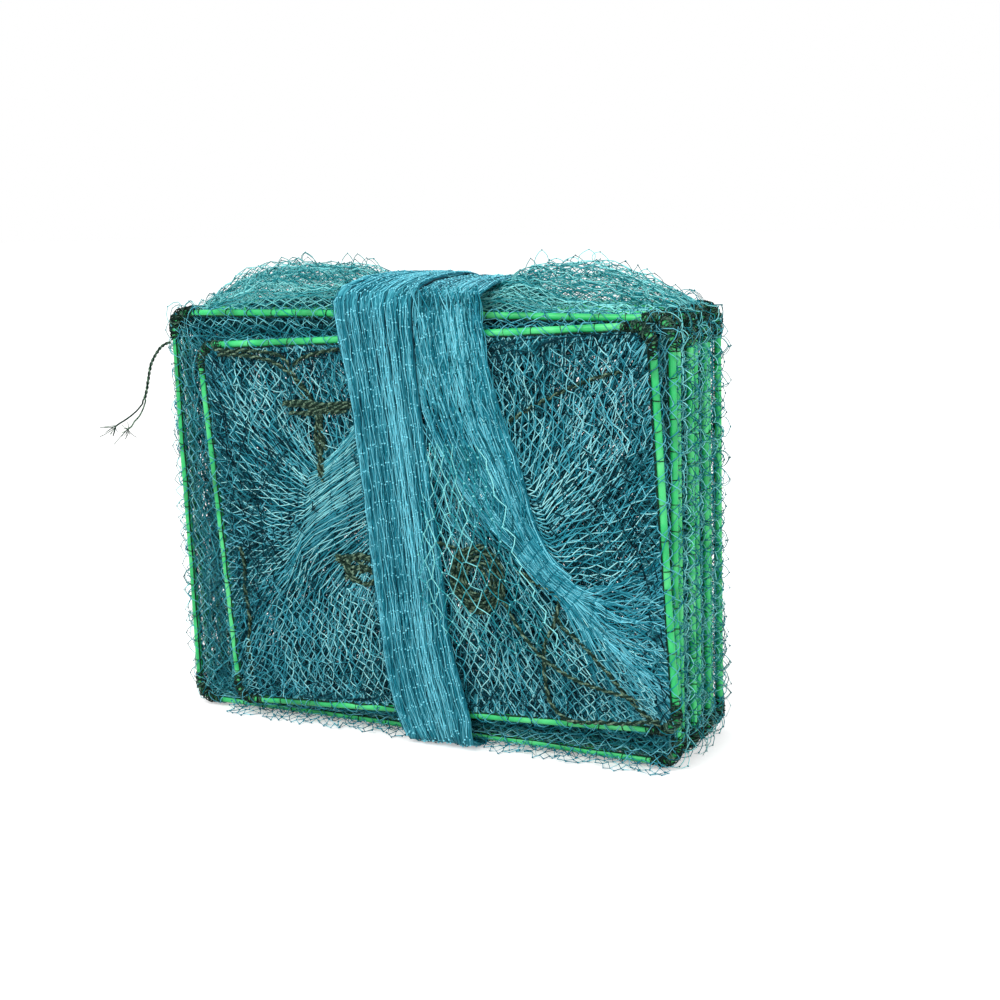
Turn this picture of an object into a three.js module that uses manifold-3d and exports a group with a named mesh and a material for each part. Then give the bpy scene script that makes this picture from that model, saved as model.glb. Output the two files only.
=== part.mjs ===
import * as THREE from 'three';
import { mergeVertices } from 'three/addons/utils/BufferGeometryUtils.js';
import Module from 'manifold-3d';

// A folding crab trap, folded flat and standing on its long edge. Millimetres, +Z up.
// The hoops stack along +Y, and the trap opens by drawing them apart along that axis.

// Hoops: a steel wire in a plastic sleeve, bent to a rounded rectangle. The two end hoops
// stand in from the main hoops by a step at each side, so that they nest.
const mainWide = 311.2;
const mainTall = 235.2;
const endStepWide = 16.1;
const endStepTall = 12.1;
const hoopCorner = 9.5;
const wireThick = 2.6;
const boreFit = 0.3;
const sleeveThick = 4;
const sleeveButtGap = 1.6;
const cornerSteps = 3;
const barSides = 6;

// How the folded stack stands
const mainCount = 7;
const mainPitch = 11.4;
const endPitch = 8.8;
const stackLoose = 2.4;
const mainShiftShares = [0.3, -0.5, 0.6, -0.2, 0.5, -0.6, 0.1];
const frontShift = 15;
const frontLift = 1.5;
const frontRoll = 0.055;
const rearShift = -7;
const rearLift = 3;
const rearRoll = -0.025;

// Lashing cord that runs along each hoop and bunches into a knot at each corner
const lacingThick = 1.2;
const seatGap = 0.3;
const knotThick = 3;
const knotLong = 7;
const footDrop = 2.5;
const footCut = 0.5;

// Netting, drawn as thin folded walls
const netThick = 0.5;
const foldDeep = 14;
const foldSide = 4;
const foldUnder = 1.2;
const foldHoldShare = 0.12;
const foldLeastShare = 0.8;
const puffHigh = 28;
const puffBayShares = [0, 0.6, 0.85, 1, 1, 0.85, 0.6, 0];
const puffPlaceShares = [0.1, 0.22, 0.34, 0.7, 0.82, 0.92];
const puffRiseShares = [0.7, 1, 0.54, 0.54, 1, 0.75];

// Inner funnels, one behind each hoop but the last
const throatShare = 0.42;
const funnelReach = 5;

// Side entries, one in each bay between two main hoops, left and right in turn
const entryLong = 64;
const entryMouthTall = 116;
const entryThroatTall = 44;
const entryThick = 4;
const entrySteps = 8;

// Flat nets in the two end hoops
const endNetThick = 1;
const endNetSet = 0.6;
const frontMeshPitch = 28;
const rearMeshPitch = 46;
const meshBarWide = 4.5;

// The gathered front tail, wound once and a half round the folded stack
const wrapThick = 1.4;
const wrapLayerGap = 0.4;
const gatherRise = 0.5;
const gatherCount = 2;
const wrapBend = 5;
const wrapBendSteps = 3;
const wrapStartTall = 62;
const wrapEndTall = 150;
const wrapRise = 11;
const wrapCrown = 17;

// The draw cord that lies coiled on the tail
const drawThick = 1.6;
const coilRadius = 13.4;
const coilPitch = 2.1;
const coilRise = 0.65;
const coilTurns = 4.25;
const coilCrossShare = 0.25;
const coilCrossRise = 2.4;
const coilStepsPerTurn = 24;
const coilSides = 6;

// The loose tie cord at the left
const tieThick = 1.9;
const tieSides = 8;
const tieSteps = 22;

const finishes = {
  wire: { color: 0x9a9c9a, roughness: 0.4, metalness: 0.9 },
  sleeve: { color: 0x35dd72, roughness: 0.45, metalness: 0 },
  lacing: { color: 0x33402f, roughness: 0.8, metalness: 0 },
  net: { color: 0x3f98a8, roughness: 0.75, metalness: 0 },
  tail: { color: 0x479fb0, roughness: 0.75, metalness: 0 },
};

// Hoop places, front to back
const centreTall = footDrop + sleeveThick / 2 + mainTall / 2;
const stackDeep = (mainCount - 1) * mainPitch + 2 * endPitch;
const hoops = [];
for (let k = 0; k < mainCount + 2; k += 1) {
  const front = k === 0;
  const rear = k === mainCount + 1;
  const end = front || rear;
  let along = -stackDeep / 2;
  if (!front) along += endPitch + (k - 1) * mainPitch;
  if (rear) along += endPitch - mainPitch;
  let shift = stackLoose * (mainShiftShares[k - 1] ?? 0);
  if (front) shift = frontShift;
  if (rear) shift = rearShift;
  hoops.push({
    along,
    shift,
    wide: mainWide - (end ? 2 * endStepWide : 0),
    tall: mainTall - (end ? 2 * endStepTall : 0),
    lift: centreTall + (front ? frontLift : 0) + (rear ? rearLift : 0),
    roll: (front ? frontRoll : 0) + (rear ? rearRoll : 0),
  });
}
const firstAlong = hoops[0].along;
const lastAlong = hoops[hoops.length - 1].along;
const topBarTall = centreTall + mainTall / 2;

// A rounded rectangle as points with outward normals, from the bottom's middle to the right.
function roundedLoop(left, right, bottom, top, radius, between = {}) {
  const corners = [
    [right - radius, bottom + radius, -Math.PI / 2],
    [right - radius, top - radius, 0],
    [left + radius, top - radius, Math.PI / 2],
    [left + radius, bottom + radius, Math.PI],
  ];
  const sides = [between.right, between.top, between.left, between.bottom];
  const loop = [];
  corners.forEach(([x, z, first], c) => {
    for (let s = 0; s <= cornerSteps; s += 1) {
      const turn = first + (s / cornerSteps) * (Math.PI / 2);
      const normal = new THREE.Vector2(Math.cos(turn), Math.sin(turn));
      loop.push({ x: x + normal.x * radius, z: z + normal.y * radius, normal });
    }
    const start = loop[loop.length - 1];
    const [nextX, nextZ, nextTurn] = corners[(c + 1) % corners.length];
    const endX = nextX + Math.cos(nextTurn) * radius;
    const endZ = nextZ + Math.sin(nextTurn) * radius;
    for (const share of sides[c] ?? []) {
      const x = THREE.MathUtils.lerp(start.x, endX, share);
      const z = THREE.MathUtils.lerp(start.z, endZ, share);
      loop.push({ x, z, normal: start.normal.clone() });
    }
  });
  return loop;
}

function hoopLoop(hoop, inset = 0, between = {}) {
  const halfWide = hoop.wide / 2 - inset;
  const halfTall = hoop.tall / 2 - inset;
  const radius = Math.max(hoopCorner - inset, hoopCorner / 2);
  return roundedLoop(-halfWide, halfWide, -halfTall, halfTall, radius, between);
}

// Turns and shifts a loop that is drawn about a hoop's own centre into the stack.
function placed(loop, hoop) {
  const cos = Math.cos(hoop.roll);
  const sin = Math.sin(hoop.roll);
  return loop.map(({ x, z }) => ({
    x: hoop.shift + x * cos - z * sin,
    z: hoop.lift + x * sin + z * cos,
  }));
}

function solidFrom(points, faces) {
  let volume = 0;
  for (const [a, b, c] of faces) {
    volume += points[a].dot(new THREE.Vector3().crossVectors(points[b], points[c]));
  }
  const outward = volume > 0 ? faces : faces.map(([a, b, c]) => [a, c, b]);
  const geometry = new THREE.BufferGeometry();
  const flat = points.flatMap((p) => [p.x, p.y, p.z]);
  geometry.setAttribute('position', new THREE.Float32BufferAttribute(flat, 3));
  geometry.setIndex(outward.flat());
  geometry.computeVertexNormals();
  return geometry;
}

// Rows of points that close on themselves both ways. A thin wall says which of its faces
// lie on the inner skin: they are split the other way, so that a twisted wall's two skins
// match and don't cross.
function closedGrid(rows, onInnerSkin = () => false) {
  const count = rows[0].length;
  const faces = [];
  rows.forEach((row, i) => {
    const next = (i + 1) % rows.length;
    for (let j = 0; j < count; j += 1) {
      const k = (j + 1) % count;
      const [a, b] = [i * count + j, i * count + k];
      const [c, d] = [next * count + j, next * count + k];
      if (onInnerSkin(i, j)) faces.push([a, c, b], [b, c, d]);
      else faces.push([a, c, d], [a, d, b]);
    }
  });
  return solidFrom(rows.flat(), faces);
}

// Rows of points that end in two flat caps.
function cappedGrid(rows) {
  const count = rows[0].length;
  const faces = [];
  for (let i = 0; i + 1 < rows.length; i += 1) {
    for (let j = 0; j < count; j += 1) {
      const k = (j + 1) % count;
      faces.push([i * count + j, (i + 1) * count + j, (i + 1) * count + k]);
      faces.push([i * count + j, (i + 1) * count + k, i * count + k]);
    }
  }
  const last = (rows.length - 1) * count;
  for (let j = 1; j + 1 < count; j += 1) {
    faces.push([0, j, j + 1]);
    faces.push([last, last + j + 1, last + j]);
  }
  return solidFrom(rows.flat(), faces);
}

// One section of a bar: its half sizes across the hoop's plane and along the stack.
function barSection(station, halfAcross, halfAlong, along = 0) {
  const section = [];
  for (let s = 0; s < barSides; s += 1) {
    const turn = ((s + 0.5) / barSides) * 2 * Math.PI;
    const across = halfAcross * Math.cos(turn);
    const x = station.x + station.normal.x * across;
    const z = station.z + station.normal.y * across;
    section.push(new THREE.Vector3(x, along + halfAlong * Math.sin(turn), z));
  }
  return section;
}

function wireGeometry(hoop) {
  const half = wireThick / 2;
  return closedGrid(hoopLoop(hoop).map((station) => barSection(station, half, half)));
}

// The sleeve is open where its two ends meet, at the middle of the lower bar.
function sleeveGeometry(hoop) {
  const loop = hoopLoop(hoop);
  const down = new THREE.Vector2(0, -1);
  const bottom = -hoop.tall / 2;
  const stations = [
    { x: sleeveButtGap / 2, z: bottom, normal: down },
    ...loop,
    { x: -sleeveButtGap / 2, z: bottom, normal: down },
  ];
  const outer = sleeveThick / 2;
  const inner = wireThick / 2 + boreFit;
  const outside = stations.map((station) => barSection(station, outer, outer));
  const inside = stations.map((station) => barSection(station, inner, inner));
  return closedGrid([...outside, ...inside.reverse()]);
}

// The lashing lies on the bar's face, in front for side -1. Its corner knots reach down to
// the floor, where they are cut flat.
function lacingGeometry(hoop, side) {
  const knotEnds = (barLong) => {
    const share = knotLong / (barLong - 2 * hoopCorner);
    return [share, 2 * share, 1 - 2 * share, 1 - share];
  };
  const across = knotEnds(hoop.wide);
  const up = knotEnds(hoop.tall);
  const loop = hoopLoop(hoop, 0, { bottom: across, top: across, left: up, right: up });
  const floor = -hoop.tall / 2 - sleeveThick / 2 - footDrop;
  const reach = (sleeveThick / 2 + footDrop + footCut) / Math.cos(Math.PI / barSides);
  const perSide = cornerSteps + 1 + across.length;
  const rows = loop.map((station, i) => {
    const step = i % perSide;
    const thin = step === cornerSteps + 2 || step === cornerSteps + 3;
    const halfAlong = thin ? lacingThick / 2 : knotThick / 2;
    const halfAcross = thin ? lacingThick / 2 : reach;
    const seat = side * (sleeveThick / 2 + seatGap + halfAlong);
    const section = barSection(station, halfAcross, halfAlong, seat);
    for (const point of section) point.z = Math.max(point.z, floor);
    return section;
  });
  return closedGrid(rows);
}

// A wall of netting between two main hoops, folded once. It bellies out above the top
// bars, stands a little proud at the other sides, and stays in the gap between the sleeves.
function bayNetGeometry(k) {
  const near = hoops[k];
  const far = hoops[k + 1];
  const middle = { ...near, shift: (near.shift + far.shift) / 2 };
  const fromRight = puffPlaceShares.map((share) => 1 - share).reverse();
  const rises = [...puffRiseShares].reverse();
  const loop = hoopLoop(middle, 0, { top: fromRight });
  const topStart = 2 * (cornerSteps + 1);
  const fold = loop.map(({ x, z, normal }, i) => {
    const rise = puffHigh * puffBayShares[k] * (rises[i - topStart] ?? 0);
    const under = Math.max(0, -normal.y);
    const out = Math.max(rise, THREE.MathUtils.lerp(foldSide, foldUnder, under));
    return { x: x + normal.x * out, z: z + normal.y * out };
  });
  const start = near.along + sleeveThick / 2 + seatGap;
  const end = far.along - sleeveThick / 2 - 2 * seatGap - knotThick;
  return foldedWall(placed(loop, middle), placed(fold, middle), placed(loop, middle), start, end);
}

// A thin wall that runs from one loop to a fold and on to another loop.
function foldedWall(first, fold, second, start, end) {
  const middle = (start + end) / 2;
  const rows = fold.map((peak, i) => {
    const a = first[i];
    const b = second[i];
    const foot = { x: (a.x + b.x) / 2, z: (a.z + b.z) / 2 };
    const deep = Math.hypot(peak.x - foot.x, peak.z - foot.z);
    const share = Math.max(foldHoldShare, (netThick / deep) * foldLeastShare);
    const hold = {
      x: THREE.MathUtils.lerp(peak.x, foot.x, share),
      z: THREE.MathUtils.lerp(peak.z, foot.z, share),
    };
    return [
      new THREE.Vector3(a.x, start, a.z),
      new THREE.Vector3(peak.x, middle, peak.z),
      new THREE.Vector3(b.x, end, b.z),
      new THREE.Vector3(b.x, end - netThick, b.z),
      new THREE.Vector3(hold.x, middle, hold.z),
      new THREE.Vector3(a.x, start + netThick, a.z),
    ];
  });
  return closedGrid(rows, (i, j) => j >= rows[i].length / 2);
}

// The wall between an end hoop and its neighbour folds inside both windows, so its fold
// follows the end hoop, which is the smaller one.
function endBayNetGeometry(k) {
  const near = hoops[k];
  const far = hoops[k + 1];
  const endHoop = k === 0 ? near : far;
  const rim = sleeveThick / 2 + seatGap;
  const first = placed(hoopLoop(near, rim), near);
  const second = placed(hoopLoop(far, rim), far);
  const fold = placed(hoopLoop(endHoop, foldDeep), endHoop);
  const clear = netThick / 2 + seatGap;
  return foldedWall(first, fold, second, near.along + clear, far.along - clear);
}

function funnelGeometry(hoop) {
  const rim = hoopLoop(hoop, sleeveThick / 2 + seatGap);
  const halfWide = (hoop.wide / 2) * throatShare;
  const halfTall = (hoop.tall / 2) * throatShare;
  const throat = roundedLoop(-halfWide, halfWide, -halfTall, halfTall, hoopCorner);
  const half = netThick / 2;
  const rows = rim.map((edge, i) => [
    new THREE.Vector3(edge.x, -half, edge.z),
    new THREE.Vector3(throat[i].x, funnelReach - half, throat[i].z),
    new THREE.Vector3(throat[i].x, funnelReach + half, throat[i].z),
    new THREE.Vector3(edge.x, half, edge.z),
  ]);
  return closedGrid(rows, (i, j) => j >= rows[i].length / 2);
}

// A flattened net spout that points inwards from a side wall. Side is -1 or 1.
function entryGeometry(k, side) {
  const hoop = hoops[k];
  const middle = hoops[k + 1].along - netThick / 2 - seatGap - entryThick / 2;
  const section = (away, halfTall, halfAlong) => {
    const points = [];
    for (let s = 0; s < entrySteps; s += 1) {
      const turn = (s / entrySteps) * 2 * Math.PI;
      const y = middle + halfAlong * Math.sin(turn);
      const z = centreTall + halfTall * Math.cos(turn);
      points.push(new THREE.Vector3(side * (mainWide / 2 - away) + hoop.shift, y, z));
    }
    return points;
  };
  const near = sleeveThick / 2 + seatGap;
  const far = near + entryLong;
  const half = entryThick / 2;
  const rows = [
    section(near, entryMouthTall / 2, half),
    section(far, entryThroatTall / 2, half),
    section(far, entryThroatTall / 2 - netThick, half - netThick),
    section(near, entryMouthTall / 2 - netThick, half - netThick),
  ];
  return closedGrid(rows, (i) => i >= rows.length / 2);
}

// Solids for cutting
const solidKit = await Module();
solidKit.setup();

function toSolid(geometry) {
  const bare = geometry.clone();
  bare.deleteAttribute('normal');
  bare.deleteAttribute('uv');
  const merged = mergeVertices(bare);
  const vertProperties = new Float32Array(merged.attributes.position.array);
  const triVerts = new Uint32Array(merged.index.array);
  return new solidKit.Manifold(new solidKit.Mesh({ numProp: 3, vertProperties, triVerts }));
}

function toGeometry(solid) {
  const { vertProperties, triVerts } = solid.getMesh();
  const geometry = new THREE.BufferGeometry();
  geometry.setAttribute('position', new THREE.BufferAttribute(vertProperties, 3));
  geometry.setIndex(new THREE.BufferAttribute(triVerts, 1));
  geometry.computeVertexNormals();
  return geometry;
}

// A flat net with diamond gaps that fills an end hoop's window.
function endNetGeometry(hoop, meshPitch) {
  const rim = hoopLoop(hoop, sleeveThick / 2 + seatGap);
  const plate = cappedGrid([0, endNetThick].map(
    (along) => rim.map(({ x, z }) => new THREE.Vector3(x, along, z)),
  ));
  const half = (meshPitch - meshBarWide * Math.SQRT2) / 2;
  const limitWide = hoop.wide / 2 - sleeveThick / 2 - seatGap - meshBarWide - half;
  const limitTall = hoop.tall / 2 - sleeveThick / 2 - seatGap - meshBarWide - half;
  const rowsUp = Math.floor(limitTall / (meshPitch / 2));
  const columns = Math.floor(limitWide / meshPitch) + 1;
  let net = toSolid(plate);
  for (let row = -rowsUp; row <= rowsUp; row += 1) {
    const stagger = (Math.abs(row) % 2) * (meshPitch / 2);
    for (let column = -columns; column <= columns; column += 1) {
      const x = column * meshPitch + stagger;
      const z = (row * meshPitch) / 2;
      if (Math.abs(x) > limitWide) continue;
      const gap = cappedGrid([-endNetThick, 2 * endNetThick].map((along) => [
        new THREE.Vector3(x + half, along, z),
        new THREE.Vector3(x, along, z + half),
        new THREE.Vector3(x - half, along, z),
        new THREE.Vector3(x, along, z - half),
      ]));
      net = net.subtract(toSolid(gap));
    }
  }
  return toGeometry(net);
}

// The tail's route round the stack, as places in the YZ plane with a centre and a width.
// Shares of the main hoop's width, from the start on the front to the tucked end behind.
function wrapRoute() {
  const half = wrapThick / 2;
  const layer = wrapThick + gatherRise + wrapLayerGap;
  const faceDeep = sleeveThick / 2 + seatGap + lacingThick + seatGap + half;
  const frontAlong = firstAlong - faceDeep;
  const rearAlong = lastAlong + faceDeep;
  const underTall = seatGap + gatherRise + half;
  const eavesTall = topBarTall + wrapRise;
  const crownTall = topBarTall + wrapCrown;
  const frontCrown = hoops[2].along;
  const rearCrown = hoops[mainCount - 1].along;
  const tall = centreTall * 2;
  const at = (y, z, centreShare, wideShare) => (
    { y, z, x: centreShare * mainWide, wide: wideShare * mainWide }
  );
  return [
    at(frontAlong, wrapStartTall, 0.37, 0.17),
    at(frontAlong, 0.46 * tall, 0.225, 0.2),
    at(frontAlong, 0.66 * tall, 0.165, 0.17),
    at(frontAlong, 0.84 * tall, 0.13, 0.145),
    at(frontAlong, eavesTall, 0.105, 0.132),
    at(frontCrown, crownTall, 0.1, 0.13),
    at(rearCrown, crownTall, 0.09, 0.13),
    at(rearAlong, eavesTall, 0.085, 0.13),
    at(rearAlong, underTall, 0.1, 0.12),
    at(frontAlong - layer, underTall, 0.098, 0.095),
    at(frontAlong - layer, 0.1 * tall, 0.065, 0.115),
    at(frontAlong - layer, 0.26 * tall, 0.04, 0.125),
    at(frontAlong - layer, 0.45 * tall, 0.005, 0.142),
    at(frontAlong - layer, 0.82 * tall, -0.035, 0.145),
    at(frontAlong - layer, eavesTall + layer, -0.043, 0.145),
    at(frontCrown, crownTall + layer, -0.045, 0.14),
    at(rearCrown, crownTall + layer, -0.05, 0.14),
    at(rearAlong + layer, eavesTall + layer, -0.06, 0.135),
    at(rearAlong + layer, wrapEndTall, -0.07, 0.12),
  ];
}

// Rounds each bend of the route and keeps its straight stretches.
function roundedRoute(route) {
  const smooth = [route[0]];
  for (let i = 1; i + 1 < route.length; i += 1) {
    const here = route[i];
    const back = new THREE.Vector2(route[i - 1].y - here.y, route[i - 1].z - here.z);
    const on = new THREE.Vector2(route[i + 1].y - here.y, route[i + 1].z - here.z);
    const straight = Math.abs(back.cross(on)) < back.length() * on.length() * 1e-6;
    if (straight) {
      smooth.push(here);
      continue;
    }
    const half = back.angleTo(on) / 2;
    const cut = Math.min(wrapBend / Math.tan(half), back.length() / 2, on.length() / 2);
    const first = mixed(here, route[i - 1], cut / back.length());
    const last = mixed(here, route[i + 1], cut / on.length());
    for (let s = 0; s <= wrapBendSteps; s += 1) {
      const t = s / wrapBendSteps;
      smooth.push(mixed(mixed(first, here, t), mixed(here, last, t), t));
    }
  }
  smooth.push(route[route.length - 1]);
  return smooth;
}

function mixed(a, b, share) {
  const out = {};
  for (const key of ['x', 'y', 'z', 'wide']) out[key] = THREE.MathUtils.lerp(a[key], b[key], share);
  return out;
}

// The strip is flat towards the stack, and its gathers stand up on the outside.
function wrapGeometry() {
  const route = roundedRoute(wrapRoute());
  const half = wrapThick / 2;
  const section = [[-1, -half], [1, -half]];
  for (let s = 2 * gatherCount; s >= 0; s -= 1) {
    section.push([s / gatherCount - 1, half + (s % 2) * gatherRise]);
  }
  const rows = route.map((here, i) => {
    const before = route[Math.max(i - 1, 0)];
    const after = route[Math.min(i + 1, route.length - 1)];
    const normal = new THREE.Vector2(-(after.z - before.z), after.y - before.y).normalize();
    return section.map(([across, out]) => new THREE.Vector3(
      here.x + (across * here.wide) / 2, here.y + out * normal.x, here.z + out * normal.y,
    ));
  });
  return cappedGrid(rows);
}

class PointsCurve extends THREE.CatmullRomCurve3 {
  constructor(points) {
    super(points, false, 'centripetal');
  }
}

function cordGeometry(curve, thick, sides, steps) {
  const section = new THREE.Shape();
  for (let s = 0; s < sides; s += 1) {
    const turn = (s / sides) * 2 * Math.PI;
    const x = (thick / 2) * Math.cos(turn);
    const y = (thick / 2) * Math.sin(turn);
    if (s === 0) section.moveTo(x, y);
    else section.lineTo(x, y);
  }
  section.closePath();
  return new THREE.ExtrudeGeometry(section, { steps, extrudePath: curve, bevelEnabled: false });
}

// The draw cord: a short tail from the left, turns that run inwards and climb a little, and
// a long tail that crosses them, comes back to the net and runs to the lower right.
const coilCentre = new THREE.Vector2(50.5, 100.4);
const drawStart = [[24, 118.5], [33, 116.5], [42, 114.4]];
const drawEnd = [[66, 91], [73, 78], [86, 62], [104, 51], [122, 46], [138, 43]];
function drawCordPoints() {
  const layers = sleeveThick / 2 + lacingThick + wrapThick + gatherRise + drawThick / 2;
  const seat = firstAlong - layers - 3 * seatGap;
  const count = Math.round(coilTurns * coilStepsPerTurn);
  const lift = coilTurns * coilRise + coilCrossRise;
  const points = drawStart.map(([x, z]) => new THREE.Vector3(x, seat, z));
  for (let s = 0; s <= count; s += 1) {
    const turns = s / coilStepsPerTurn;
    const turn = Math.PI / 2 - turns * 2 * Math.PI;
    const radius = coilRadius - turns * coilPitch;
    const crossing = Math.max(0, 1 - (coilTurns - turns) / coilCrossShare);
    points.push(new THREE.Vector3(
      coilCentre.x + radius * Math.cos(turn),
      seat - turns * coilRise - crossing * coilCrossRise,
      coilCentre.y + radius * Math.sin(turn),
    ));
  }
  drawEnd.forEach(([x, z], i) => {
    const back = 1 - (i + 1) / drawEnd.length;
    points.push(new THREE.Vector3(x, seat - back * lift, z));
  });
  return points;
}

function leastGap(points, thick, apart) {
  let least = Infinity;
  for (let i = 0; i < points.length; i += 1) {
    for (let j = i + apart; j < points.length; j += 1) {
      least = Math.min(least, points[i].distanceTo(points[j]) - thick);
    }
  }
  return least;
}

// The loose tie cord leaves the second hoop's upper left knot and hangs outwards.
const tieStartTall = 226.6;
const tieRoute = [
  [-162.7, 226.3], [-164.9, 225.6], [-167.6, 223.9], [-170.1, 221.1], [-172.4, 217.3],
  [-174.2, 212.8], [-175.5, 207.9], [-176.4, 203], [-177.1, 198.1], [-178.1, 193.3],
  [-179.9, 189.1], [-182.5, 185.4], [-185.4, 182.6], [-188.6, 180.4], [-192.8, 178.1],
  [-197.2, 175.6], [-202.4, 172.2], [-207.6, 168.4],
];

const trap = new THREE.Group();

function finish(name) {
  return new THREE.MeshStandardMaterial(finishes[name]);
}

function addTo(group, name, geometry, look) {
  const mesh = new THREE.Mesh(geometry, finish(look));
  mesh.name = name;
  group.add(mesh);
  return mesh;
}

hoops.forEach((hoop, k) => {
  const group = new THREE.Group();
  group.position.set(hoop.shift, hoop.along, hoop.lift);
  group.rotation.y = -hoop.roll;
  const number = k + 1;
  addTo(group, `hoop_wire_${number}`, wireGeometry(hoop), 'wire');
  addTo(group, `hoop_sleeve_${number}`, sleeveGeometry(hoop), 'sleeve');
  addTo(group, `lashing_cord_${number}`, lacingGeometry(hoop, k + 1 < hoops.length ? -1 : 1), 'lacing');
  if (k + 1 < hoops.length) addTo(group, `inner_funnel_${number}`, funnelGeometry(hoop), 'net');
  if (k === 0) {
    const net = addTo(group, 'front_tail_net', endNetGeometry(hoop, frontMeshPitch), 'net');
    net.position.y = -endNetSet - endNetThick;
  }
  if (k === hoops.length - 1) {
    const net = addTo(group, 'rear_tail_net', endNetGeometry(hoop, rearMeshPitch), 'net');
    net.position.y = endNetSet;
  }
  trap.add(group);
});

for (let k = 0; k + 1 < hoops.length; k += 1) {
  const endBay = k === 0 || k === mainCount;
  const geometry = endBay ? endBayNetGeometry(k) : bayNetGeometry(k);
  addTo(trap, `bay_net_${k + 1}`, geometry, 'net');
  if (!endBay) addTo(trap, `side_entry_${k + 1}`, entryGeometry(k, k % 2 ? -1 : 1), 'net');
}

addTo(trap, 'tail_wrap', wrapGeometry(), 'tail');

const drawPoints = drawCordPoints();
const drawSteps = drawPoints.length - 1;
const drawCurve = new PointsCurve(drawPoints);
addTo(trap, 'draw_cord', cordGeometry(drawCurve, drawThick, coilSides, drawSteps), 'lacing');
const drawGap = leastGap(drawPoints, drawThick, coilStepsPerTurn / 2);
console.log('draw cord least gap', drawGap.toFixed(2));

const tieAlong = hoops[1].along - sleeveThick / 2 - seatGap - knotThick / 2;
const knotFace = hoops[1].shift - mainWide / 2 - sleeveThick / 2 - footDrop - footCut;
const tiePoints = [[knotFace - seatGap, tieStartTall], ...tieRoute].map(
  ([x, z]) => new THREE.Vector3(x, tieAlong, z),
);
addTo(trap, 'tie_cord', cordGeometry(new PointsCurve(tiePoints), tieThick, tieSides, tieSteps), 'lacing');

// The origin is the middle of the trap's footprint, on the surface that it stands on.
trap.updateMatrixWorld(true);
const bounds = new THREE.Box3();
trap.traverse((part) => {
  if (part.isMesh && part.name !== 'tie_cord') bounds.expandByObject(part, true);
});
const middle = bounds.getCenter(new THREE.Vector3());
trap.position.set(-middle.x, -middle.y, -bounds.min.z);
console.log('moved by', trap.position.toArray().map((value) => value.toFixed(4)).join(' '));

export default trap;
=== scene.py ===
import math

import bmesh
import bpy
import numpy as np
from mathutils import Matrix, Vector


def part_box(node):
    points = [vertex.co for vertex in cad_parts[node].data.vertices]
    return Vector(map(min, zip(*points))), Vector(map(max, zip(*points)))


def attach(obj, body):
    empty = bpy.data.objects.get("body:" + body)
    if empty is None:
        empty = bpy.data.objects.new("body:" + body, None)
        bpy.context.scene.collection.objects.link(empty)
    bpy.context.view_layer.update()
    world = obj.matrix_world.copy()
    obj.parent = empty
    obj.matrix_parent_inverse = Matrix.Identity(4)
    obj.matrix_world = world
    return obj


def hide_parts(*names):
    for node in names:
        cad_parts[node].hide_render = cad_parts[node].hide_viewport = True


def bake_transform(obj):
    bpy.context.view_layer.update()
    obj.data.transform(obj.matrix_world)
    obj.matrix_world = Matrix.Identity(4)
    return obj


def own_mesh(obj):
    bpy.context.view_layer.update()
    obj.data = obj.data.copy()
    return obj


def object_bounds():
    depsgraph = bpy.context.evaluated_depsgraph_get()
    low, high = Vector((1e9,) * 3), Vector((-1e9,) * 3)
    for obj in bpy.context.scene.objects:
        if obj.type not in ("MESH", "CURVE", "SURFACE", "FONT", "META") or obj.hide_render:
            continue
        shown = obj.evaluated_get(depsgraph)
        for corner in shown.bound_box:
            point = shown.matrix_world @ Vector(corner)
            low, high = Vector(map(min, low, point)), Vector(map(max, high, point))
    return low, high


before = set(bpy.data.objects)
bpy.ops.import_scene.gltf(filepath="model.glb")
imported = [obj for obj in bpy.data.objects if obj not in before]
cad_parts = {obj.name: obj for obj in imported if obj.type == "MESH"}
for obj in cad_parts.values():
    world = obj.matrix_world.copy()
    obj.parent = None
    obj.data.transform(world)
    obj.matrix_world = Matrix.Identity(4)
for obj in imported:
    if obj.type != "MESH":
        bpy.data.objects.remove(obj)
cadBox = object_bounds()
print("Frame loaded, nodes:", len(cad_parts))

scene = bpy.context.scene
scene.view_settings.view_transform = "Standard"


def newObject(name, data):
    made = bpy.data.objects.new(name, data)
    scene.collection.objects.link(made)
    return made


# Camera, at the photo's viewing angle

cameraSetup = {
    "place": (0.447, -0.7895, 0.3164),
    "turn": 27.36,          # degrees to the right of straight ahead
    "down": 11.65,          # degrees below the horizon
    "roll": -1.99,
    "lens": 58.1,
    "sensor": 36.0,
}


def addCamera():
    data = bpy.data.cameras.new("camera")
    data.lens = cameraSetup["lens"]
    data.sensor_width = cameraSetup["sensor"]
    data.clip_start = 0.01
    data.clip_end = 50
    camera = newObject("camera", data)
    turn = Matrix.Rotation(math.radians(cameraSetup["turn"]), 4, "Z")
    tilt = Matrix.Rotation(math.radians(90 - cameraSetup["down"]), 4, "X")
    roll = Matrix.Rotation(math.radians(cameraSetup["roll"]), 4, "Z")
    camera.matrix_world = Matrix.Translation(cameraSetup["place"]) @ turn @ tilt @ roll
    scene.camera = camera


addCamera()


# Helpers for node trees

def addNode(tree, kind, inputs={}, **settings):
    # Each input is given its value, or is linked to the output of another node
    made = tree.nodes.new(kind)
    for key, value in settings.items():
        setattr(made, key, value)
    for key, value in inputs.items():
        if isinstance(value, bpy.types.NodeSocket):
            tree.links.new(value, made.inputs[key])
        else:
            made.inputs[key].default_value = value
    return made


def newMaterial(name):
    material = bpy.data.materials.new(name)
    material.use_nodes = True
    material.node_tree.nodes.clear()
    return material, material.node_tree


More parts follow.
